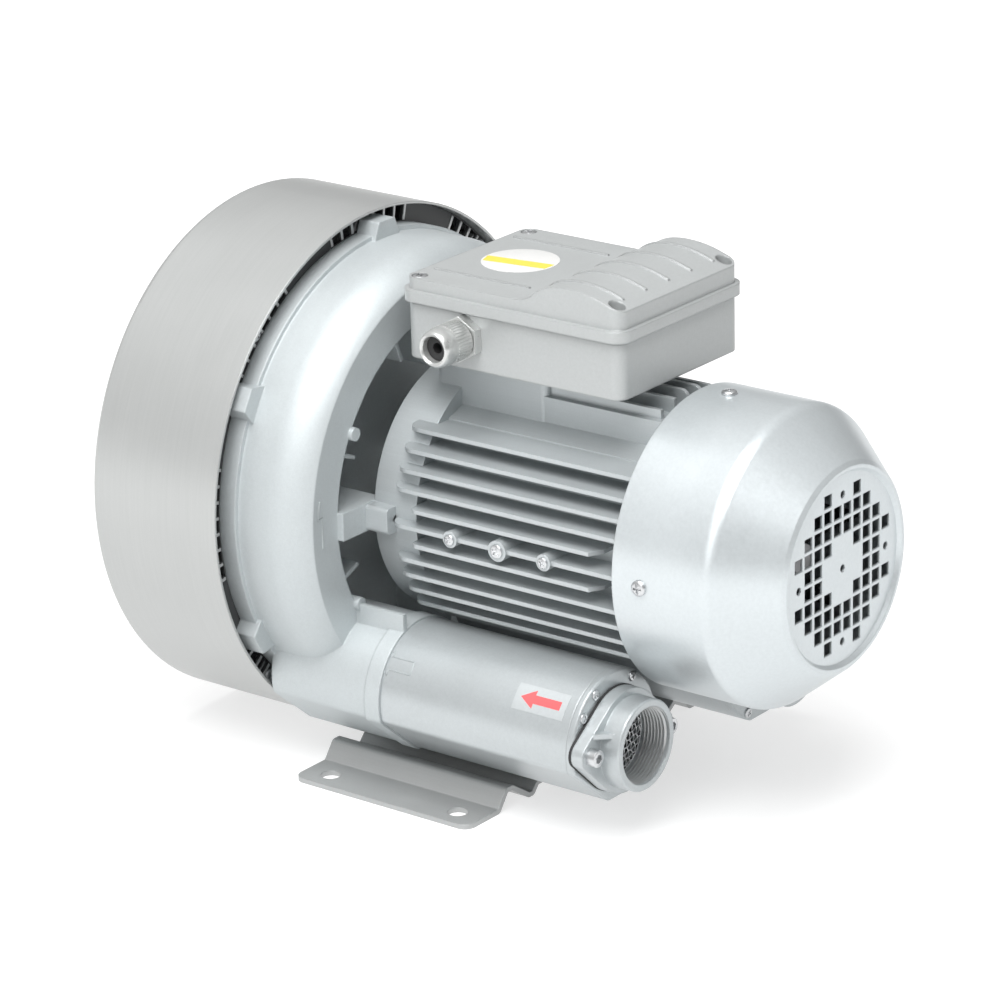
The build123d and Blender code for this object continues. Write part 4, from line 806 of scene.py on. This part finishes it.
@dataclass
class Screws:
    """Every visible screw head that has a recess. Turns are degrees from +Y."""

    tree: Repeat
    seed: int = 7
    spread: float = 1.5  # of their chance turns, in radians
    box_x: Point = (-17.5, 122.5)
    box_half: float = 52.0
    lid_z: float = 298.0
    cowl_x: float = 162.0
    cowl_radius: float = 89.1
    cowl_turns: tuple[float, ...] = (0, 90, 180, 270)
    cap_x: float = 134.0
    cap_reach: float = 36.3
    cap_turns: tuple[float, ...] = (36, 61, 119, 240)
    duct: Point = (76.0, 58.0)
    flange_x: float = 143.5
    flange_half: float = 36.0
    flange_tilt: float = 4.0
    bosses: tuple[Point, ...] = ((27.0, 3.3), (61.0, 4.2), (94.0, 3.3))
    boss_y: float = 87.5
    ring_turns: tuple[float, ...] = (45, 135, 225, 315)
    grille_x: float = -98.0
    grille_circle: float = 150.5
    drum_x: float = -185.5
    post_circle: float = 110.0

    def build(self) -> None:
        """Set each kind of head on its places."""
        lid = [((x, side * self.box_half, self.lid_z), UP) for x in self.box_x for side in SIDES]
        self.set("lid_screw_heads", Screw(4.2, 3.3, Drive.CROSS), lid, ("lid_screws",))
        cowl = Screw(4.6, 2.6, Drive.CROSS, dome=1.6)
        self.set("cowl_screw_heads", cowl, self.cowl_places(), ("cowl_screws",))
        self.set("end_cap_screw_heads", Screw(3.1, 1.2, Drive.CROSS), self.cap_places(), ("end_cap_screws",))
        flange = Screw(5.0, 6.0, Drive.SOCKET, dome=0.5)
        self.set("flange_screw_heads", flange, self.flange_places(), ("flange_screws",))
        for number, (x, size) in enumerate(self.bosses, 1):
            place = ((x, -self.boss_y, AXIS_HEIGHT), (0.0, -1.0, 0.0))
            boss = Screw(size, 1.6, Drive.CROSS, dome=0.8)
            self.set(f"boss_screw_head_{number}", boss, [place], ("boss_screws",) if number == 2 else ())
        pan = Screw(4.2, 2.4, Drive.CROSS, dome=1.4)
        grille = self.ring_places(self.grille_x, self.grille_circle, 1.0)
        self.set("grille_screw_heads", pan, grille, ("grille_screws",))
        drum = self.ring_places(self.drum_x, self.post_circle, -1.0)
        self.set("drum_screw_heads", pan, drum, ("drum_screws",))

    def set(
        self, name: str, screw: Screw, places: Sequence[tuple[Spot, Spot]], stands_for: Sequence[str]
    ) -> None:
        """Build one kind's heads as one piece, each turned by chance.

        Args:
            name: The piece's name.
            screw: The head.
            places: Each a point and the direction that the head faces.
            stands_for: Solids that it is shown in place of.
        """
        head = screw.head(name + "_head")
        base = bpy.data.meshes.new(name + "_places")
        base.from_pydata([[c * MM for c in point] for point, _ in places], [], [])
        out = base.attributes.new("facing", "FLOAT_VECTOR", "POINT")
        for i, (_, direction) in enumerate(places):
            out.data[i].vector = direction
        mesh = self.tree.run(name, base, ZINC, Head=head, Seed=self.seed, Spread=self.spread)
        bpy.data.objects.remove(head)
        finished(name, mesh, ZINC, stands_for)

    def cowl_places(self) -> list[tuple[Spot, Spot]]:
        """Places round the cowl's skirt, facing out from the shaft."""
        spots = [round_shaft(self.cowl_radius, turn, self.cowl_x) for turn in self.cowl_turns]
        return [(spot, (0.0, spot[1], spot[2] - AXIS_HEIGHT)) for spot in spots]

    def cap_places(self) -> list[tuple[Spot, Spot]]:
        """Places round both end caps."""
        places = []
        for side in SIDES:
            for angle in self.cap_turns:
                turn = math.radians(angle)
                y = side * (self.duct[0] + self.cap_reach * math.cos(turn))
                places.append(((self.cap_x, y, self.duct[1] + self.cap_reach * math.sin(turn)), AHEAD))
        return places

    def flange_places(self) -> list[tuple[Spot, Spot]]:
        """Places on the two ears of both port flanges."""
        places = []
        for side in SIDES:
            turn = math.radians(side * self.flange_tilt)
            for ear in (-1, 1):
                y = side * self.duct[0] + ear * self.flange_half * math.cos(turn)
                z = self.duct[1] + ear * self.flange_half * math.sin(turn)
                places.append(((self.flange_x, y, z), AHEAD))
        return places

    def ring_places(self, x: float, radius: float, way: float) -> list[tuple[Spot, Spot]]:
        """Four places round the shaft, facing along it.

        Args:
            x: Where the heads sit.
            radius: Radius of their circle.
            way: 1 to face the fan cowl, -1 to face away from it.

        Returns:
            The places.
        """
        return [(round_shaft(radius, turn, x), (way, 0.0, 0.0)) for turn in self.ring_turns]


@dataclass
class Ports:
    """Thread and woven screen of the two ports."""

    wires: Repeat
    centre: Point = (76.0, 58.0)
    bore: float = 22.9
    crest: float = 21.75
    face_x: float = 156.5
    lead_in: float = 1.0
    length: float = 18.0
    pitch: float = 2.309
    foot_half: float = 1.02
    shoulder_half: float = 0.28
    crest_half: float = 0.12
    sunk: float = 0.25
    screen_x: float = 136.3
    screen_radius: float = 22.6
    screen_turn: float = 12.0
    mesh_pitch: float = 3.4
    wire_radius: float = 0.42

    def build(self) -> None:
        """Make both ports."""
        for name, side in zip(("inlet", "outlet"), SIDES):
            self.thread(name, side)
            self.screen(name, side)

    def thread(self, name: str, side: int) -> None:
        """Wind one port's thread, which fades out at both ends.

        Args:
            name: Which port.
            side: -1 for the inlet, 1 for the outlet.
        """
        steps, fade, least = 60, 20, 0.08
        count = int(self.length / self.pitch * steps)
        valley = self.bore + 0.05
        rings = []
        for i in range(count + 1):
            turn = math.tau * i / steps
            x = self.face_x - self.lead_in - self.pitch * i / steps
            crest = valley - (valley - self.crest) * max(min(1.0, i / fade, (count - i) / fade), least)
            flank = [
                (self.bore + self.sunk, self.foot_half), (crest + self.sunk, self.shoulder_half),
                (crest, self.crest_half),
            ]
            profile = [(r, -half) for r, half in flank] + flank[::-1]
            rings.append([
                (x + along, side * self.centre[0] + r * math.cos(turn), self.centre[1] + r * math.sin(turn))
                for r, along in profile
            ])
        shape = Shape()
        shape.rings(rings)
        finished(f"{name}_port_thread", shape.mesh(f"{name}_port_thread"), FLANGE_METAL)

    def screen(self, name: str, side: int) -> None:
        """Weave one port's wire screen and its rim.

        Args:
            name: Which port.
            side: -1 for the inlet, 1 for the outlet.
        """
        half = int(self.screen_radius / self.mesh_pitch)
        y0, z0 = side * self.centre[0], self.centre[1]
        paths = [self.wire(row, across, y0, z0) for across in (False, True) for row in range(-half, half + 1)]
        rim = arc((y0, z0), self.screen_radius, 0, 360, 72)
        paths.append([(self.screen_x, y, z) for y, z in rim])
        mesh = self.wires.run(
            f"{name}_woven_screen", path_mesh(f"{name}_wires", paths), LIT_SCREEN_WIRE,
            Radius=self.wire_radius * MM, Sides=6,
        )
        finished(f"{name}_woven_screen", mesh, LIT_SCREEN_WIRE, (f"{name}_screen",))

    def wire(self, row: int, across: bool, y0: float, z0: float) -> list[Spot]:
        """One wire of a screen, over and under its neighbours.

        Args:
            row: Its number from the middle.
            across: True for the wires of the weave's other direction.
            y0: The screen's middle, across.
            z0: The screen's middle, upwards.

        Returns:
            Points along the wire's middle.
        """
        offset = row * self.mesh_pitch
        reach = math.sqrt(self.screen_radius ** 2 - offset ** 2)
        count = int(reach / self.mesh_pitch * 8)
        turn = math.radians(self.screen_turn)
        path = []
        for i in range(count + 1):
            along = -reach + 2 * reach * i / count
            lift = self.wire_radius * math.cos(math.pi * along / self.mesh_pitch)
            lift *= (1 if row % 2 else -1) * (1 if across else -1)
            u, v = (along, offset) if across else (offset, along)
            y = u * math.cos(turn) - v * math.sin(turn)
            z = u * math.sin(turn) + v * math.cos(turn)
            path.append((self.screen_x + lift, y0 + y, z0 + z))
        return path


@dataclass
class Grille:
    """Raised ribs between the slots of the air grille."""

    ribs: Repeat
    face_x: float = -98.3  # just under the ring's face
    rise: float = 0.8
    inner: float = 145.0
    outer: float = 154.6
    half_width: float = 0.9
    groups: int = 8
    slots: int = 7
    slot_pitch: float = 3.8

    def build(self) -> None:
        """Make one group's ribs and repeat them round the shaft."""
        group = Shape()
        place = facing((self.face_x, 0.0, 0.0), AHEAD)
        for rib in range(self.slots + 1):
            turn = math.radians((rib - self.slots / 2) * self.slot_pitch)
            wide = self.half_width
            corners = ((self.inner, -wide), (self.outer, -wide), (self.outer, wide), (self.inner, wide))
            outline = [(r * math.cos(turn) - w * math.sin(turn), r * math.sin(turn) + w * math.cos(turn))
                       for r, w in corners]
            group.prism(outline, place, self.rise, 0.15)
        ribs = self.ribs.run(
            "grille_ribs", group.mesh("grille_rib_group"), GRILLE_RIB, Count=self.groups,
            Pitch=math.tau / self.groups, Axis=AHEAD, Centre=(0.0, 0.0, AXIS_HEIGHT * MM),
        )
        finished("grille_ribs", ribs, GRILLE_RIB)


@dataclass
class Gland:
    """The knurled cap of the cable gland."""

    ribs: Repeat
    x: float = 19.0
    z: float = 272.0
    start_y: float = -65.0
    end_y: float = -88.5
    radius: float = 12.0
    mouth: float = 7.6
    skirt: float = 14.3
    knurl: float = 0.5
    dome: Point = (7.6, 2.6)
    dome_base: float = 9.0
    rib_count: int = 40
    rib_start: float = 1.0
    rib_length: float = 12.0
    rib_foot: Point = (0.42, -0.6)
    rib_crest: Point = (0.16, 0.34)

    def build(self) -> None:
        """Make the cap and its ribs."""
        out = (0.0, -1.0, 0.0)
        near, far, root = -self.start_y, -self.end_y, self.radius - self.knurl
        long, swell = self.dome
        bends = [math.pi / 2 * i / 8 for i in range(9)]
        profile = [(near, root - 0.4), (near + 0.6, root), (near + self.skirt - 0.8, root)]
        profile.append((near + self.skirt, root - 0.3))
        profile += [(far - long + long * math.sin(t), self.dome_base + swell * math.cos(t)) for t in bends]
        profile += [(far - 0.6, self.mouth + 0.4), (far - 1.4, self.mouth), (near, self.mouth)]
        cap = Shape()
        cap.lathe(profile, facing((self.x, 0.0, self.z), out), 120)
        finished("gland_cap", cap.mesh("gland_cap"), BRIGHT, ("gland_nut",))
        (foot, low), (crest, high) = self.rib_foot, self.rib_crest
        outline = [(-foot, low), (foot, low), (crest, high), (-crest, high)]
        seat = facing((0.0, self.start_y, root), out) @ Matrix.Translation((0, 0, self.rib_start))
        rib = Shape()
        rib.prism(outline, seat, self.rib_length, 0.15)
        ribs = self.ribs.run(
            "gland_cap_ribs", rib.mesh("gland_rib"), BRIGHT, Count=self.rib_count,
            Pitch=math.tau / self.rib_count, Axis=(0.0, 1.0, 0.0), Centre=(self.x * MM, 0.0, self.z * MM),
        )
        finished("gland_cap_ribs", ribs, BRIGHT)


def arrow_outline(tip: Point, neck: float, tail: float, head: float, stem: float) -> list[Point]:
    """Corners of a flat arrow that points along -X.

    Args:
        tip: Its point.
        neck: Where head and stem meet.
        tail: Where the stem ends.
        head: Half the head's width.
        stem: Half the stem's width.

    Returns:
        The corners, anticlockwise.
    """
    x, mid = tip
    return [(x, mid), (neck, mid - head), (neck, mid - stem), (tail, mid - stem), (tail, mid + stem),
            (neck, mid + stem), (neck, mid + head)]


@dataclass
class Signs:
    """The bare sticker, the red arrow and the raised marks. Turns are degrees above level."""

    wires: Repeat
    sticker: Spot = (14.0, 2.0, 301.0)
    sticker_radius: float = 23.0
    sticker_thick: float = 0.2
    band: Point = (-8.5, 1.0)
    band_turn: float = 8.0
    duct_centre: Point = (-76.0, 58.0)
    duct_radius: float = 40.5
    patch_x: Point = (87.5, 123.5)
    patch_turn: Point = (28.5, 51.0)
    margin: float = 4.0
    arrow_head: Point = (9.5, 5.6)
    arrow_stem: float = 2.6
    cast_turn: float = 38.0
    turning: tuple[Spot, ...] = (
        (-40.0, -122.2, 179.0), (-40.0, -124.6, 168.0), (-40.0, -120.6, 168.6), (-40.0, -120.8, 150.0),
    )

    def build(self) -> None:
        """Make every sign."""
        self.lid_sticker()
        self.arrow_label()
        self.raised_marks()

    def lid_sticker(self) -> None:
        """A bare white disc with a plain yellow band."""
        x, y, z = self.sticker
        place = Matrix.Translation((x, y, z - 0.02))
        disc = Shape()
        disc.prism(arc((0, 0), self.sticker_radius, 0, 356, 89), place, self.sticker_thick, 0.06)
        finished("lid_sticker", disc.mesh("lid_sticker"), LABEL)
        low, high = self.band
        reach = math.sqrt(self.sticker_radius ** 2 - low ** 2) - 0.8
        outline = [(-reach, low), (reach, low), (reach + 1.6, high), (-reach - 1.6, high)]
        lift = Matrix.Translation((0, 0, self.sticker_thick)) @ place
        turned = lift @ Matrix.Rotation(math.radians(self.band_turn), 4, "Z")
        band = Shape()
        band.prism(outline, turned, 0.05)
        finished("lid_sticker_band", band.mesh("lid_sticker_band"), YELLOW)

    def on_duct(self, x: float, along: float, lift: float) -> Spot:
        """Point on the inlet duct's round side.

        Args:
            x: Place along the shaft.
            along: Length round the duct from its outermost line, upwards.
            lift: Height above the surface.

        Returns:
            The point.
        """
        turn, reach = along / self.duct_radius, self.duct_radius + lift
        y, z = self.duct_centre
        return (x, y - reach * math.cos(turn), z + reach * math.sin(turn))

    def wrapped(self, outline: Sequence[Point], low: float, high: float) -> Shape:
        """A thin plate that follows the duct's round side.

        Args:
            outline: Corners as (x, millimetres round the duct), anticlockwise.
            low: Height of its back above the surface.
            high: Height of its face.

        Returns:
            The plate.
        """
        work = bmesh.new()
        corners = [work.verts.new((u, v, 0.0)) for u, v in outline]
        work.faces.new(corners)
        start, end, bends = min(v for _, v in outline), max(v for _, v in outline), 16
        for step in range(1, bends):
            level = start + (end - start) * step / bends
            bmesh.ops.bisect_plane(
                work, geom=work.verts[:] + work.edges[:] + work.faces[:], plane_co=(0, level, 0),
                plane_no=(0, 1, 0),
            )
        work.verts.index_update()
        flat = [tuple(v.co) for v in work.verts]
        faces = [tuple(v.index for v in face.verts) for face in work.faces]
        rim = [[v.index for v in edge.verts] for edge in work.edges if edge.is_boundary]
        work.free()
        size = len(flat)
        faces += [tuple(i + size for i in reversed(face)) for face in faces]
        faces += [(a, b, b + size, a + size) for a, b in rim]
        shape = Shape()
        shape.add([self.on_duct(u, v, height) for height in (low, high) for u, v, _ in flat], faces)
        return shape

    def arrow_label(self) -> None:
        """A pale label with a red arrow, pointing along the flow."""
        x0, x1 = self.patch_x
        v0, v1 = (math.radians(turn) * self.duct_radius for turn in self.patch_turn)
        label = self.wrapped([(x0, v0), (x1, v0), (x1, v1), (x0, v1)], 0.02, 0.14)
        finished("arrow_label", label.mesh("arrow_label"), CLEAR_LABEL)
        tip, (length, half) = (x0 + self.margin, (v0 + v1) / 2), self.arrow_head
        outline = arrow_outline(tip, tip[0] + length, x1 - self.margin, half, self.arrow_stem)
        arrow = self.wrapped(outline, 0.15, 0.2)
        finished("flow_arrow", arrow.mesh("flow_arrow"), RED)

    def raised_marks(self) -> None:
        """The cast flow arrow on the duct and the turning mark on the casing."""
        tip = (-13.0, math.radians(self.cast_turn) * self.duct_radius)
        outline = arrow_outline(tip, -3.0, 13.0, 7.5, 4.0)
        flow = []
        for (u0, v0), (u1, v1) in zip(outline, outline[1:] + outline[:1]):
            flow += [self.on_duct(u0 + (u1 - u0) * i / 6, v0 + (v1 - v0) * i / 6, 0.0) for i in range(6)]
        flow.append(flow[0])
        for name, path, thick in (("duct_arrow", flow, 0.5), ("turning_mark", self.turning, 0.6)):
            mark = self.wires.run(name, path_mesh(name + "_path", [path]), CAST, Radius=thick * MM, Sides=8)
            finished(name, mark, CAST)


@dataclass(frozen=True)
class Panel:
    """A soft square light aimed at the blower, in degrees, metres and watts."""

    name: str
    azimuth: float
    elevation: float
    reach: float
    size: float
    power: float


def away(azimuth: float, elevation: float) -> Vector:
    """Direction from the blower to a viewpoint, in degrees, azimuth 0 on the inlet side."""
    a, e = math.radians(azimuth), math.radians(elevation)
    return Vector((math.sin(a) * math.cos(e), -math.cos(a) * math.cos(e), math.sin(e)))


@dataclass
class Studio:
    """Pale floor, soft lights and the camera."""

    azimuth: float = 37.82
    elevation: float = 19.96
    roll: float = -1.35
    distance: float = 2623.3
    target: Spot = (26.1, -38.2, 168.2)
    lens: float = 162.54
    floor_radius: float = 40.0
    floor_grey: float = 0.42
    glow: Point = (0.62, 1.0)
    panels: tuple[Panel, ...] = (
        Panel("key_panel", 22.0, 64.0, 2.4, 1.9, 86.0),
        Panel("front_panel", 10.0, 22.0, 3.0, 1.8, 11.0),
    )
    aim: Spot = (0.03, 0.0, 0.16)

    def build(self) -> None:
        """Make the floor, the lights, the world and the camera."""
        self.floor()
        self.lights()
        self.world()
        self.camera()

    def floor(self) -> None:
        """A wide pale floor, whiter away from the blower."""
        count = 96
        turns = [math.tau * i / count for i in range(count)]
        rim = [(self.floor_radius * math.cos(t), self.floor_radius * math.sin(t), 0.0) for t in turns]
        mesh = bpy.data.meshes.new("floor")
        mesh.from_pydata(rim, [], [tuple(range(count))])
        pale = bpy.data.materials.new("pale_floor")
        pale.use_nodes = True
        tree = Tree(pale.node_tree)
        place = tree.node("ShaderNodeTexCoord", output="Object")
        far = tree.node("ShaderNodeVectorMath", {0: place}, "Value", operation="LENGTH")
        share = ((far - 0.6) / 1.6).clamped()
        base, near, wide = ((grey, grey, grey, 1.0) for grey in (self.floor_grey, *self.glow))
        glow = tree.node("ShaderNodeMix", {0: share, 6: near, 7: wide}, 2, data_type="RGBA")
        surface = tree.node(
            "ShaderNodeBsdfPrincipled",
            {"Base Color": base, "Roughness": 0.8, "Emission Color": glow, "Emission Strength": 1.0},
        )
        tree.end(surface)
        mesh.materials.append(pale)
        placed("floor", mesh)

    def lights(self) -> None:
        """Two soft panels: one high in front and one low."""
        for panel in self.panels:
            data = bpy.data.lights.new(panel.name, "AREA")
            data.shape = "SQUARE"
            data.size = panel.size
            data.energy = panel.power
            lamp = placed(panel.name, data)
            way = away(panel.azimuth, panel.elevation)
            lamp.location = Vector(self.aim) + way * panel.reach
            lamp.rotation_euler = way.to_track_quat("Z", "Y").to_euler()

    def world(self) -> None:
        """A surround, dimmer below and towards the fan cowl, that the camera sees as white."""
        world = bpy.data.worlds.new("surround")
        bpy.context.scene.world = world
        world.use_nodes = True
        tree = Tree(world.node_tree)
        way = tree.node("ShaderNodeTexCoord", output="Generated")
        toward, behind, height = (tree.node("ShaderNodeSeparateXYZ", {0: way}, axis) for axis in "XYZ")
        glow = (0.22 - toward * 0.18 - behind * 0.10 + height * 0.50).clamped(0.04, 0.9)
        seen = tree.node("ShaderNodeLightPath", output="Is Camera Ray")
        shown = glow + seen * (1.0 - glow)
        sky = tree.node("ShaderNodeBackground", {"Color": (1.0, 1.0, 1.0, 1.0), "Strength": shown})
        out = world.node_tree.nodes.new("ShaderNodeOutputWorld")
        world.node_tree.links.new(sky.value, out.inputs["Surface"])
        bpy.context.scene.view_settings.view_transform = "Standard"

    def camera(self) -> None:
        """Stand the camera back from its target along its view, with its roll."""
        turn, roll = math.radians(self.azimuth), math.radians(self.roll)
        back = away(self.azimuth, self.elevation)
        right = Vector((math.cos(turn), math.sin(turn), 0.0))
        up = back.cross(right)
        across = right * math.cos(roll) + up * math.sin(roll)
        above = up * math.cos(roll) - right * math.sin(roll)
        data = bpy.data.cameras.new("camera")
        data.lens = self.lens
        data.sensor_width = 36.0
        data.sensor_fit = "HORIZONTAL"
        data.clip_end = 20.0
        camera = placed("camera", data)
        view = Matrix((across, above, back)).transposed().to_4x4()
        camera.matrix_world = Matrix.Translation((Vector(self.target) + back * self.distance) * MM) @ view
        bpy.context.scene.camera = camera


def main() -> None:
    """Build and dress every sub-assembly."""
    logging.basicConfig(level=logging.INFO, format="%(name)s: %(message)s")
    Solids().dress()
    places, ribs, wires = on_places(), around_axis(), tubes_on_paths()
    Screws(places).build()
    Ports(wires).build()
    Grille(ribs).build()
    Gland(ribs).build()
    Signs(wires).build()
    Studio().build()
    bpy.context.view_layer.update()


if __name__ == "__main__":
    main()
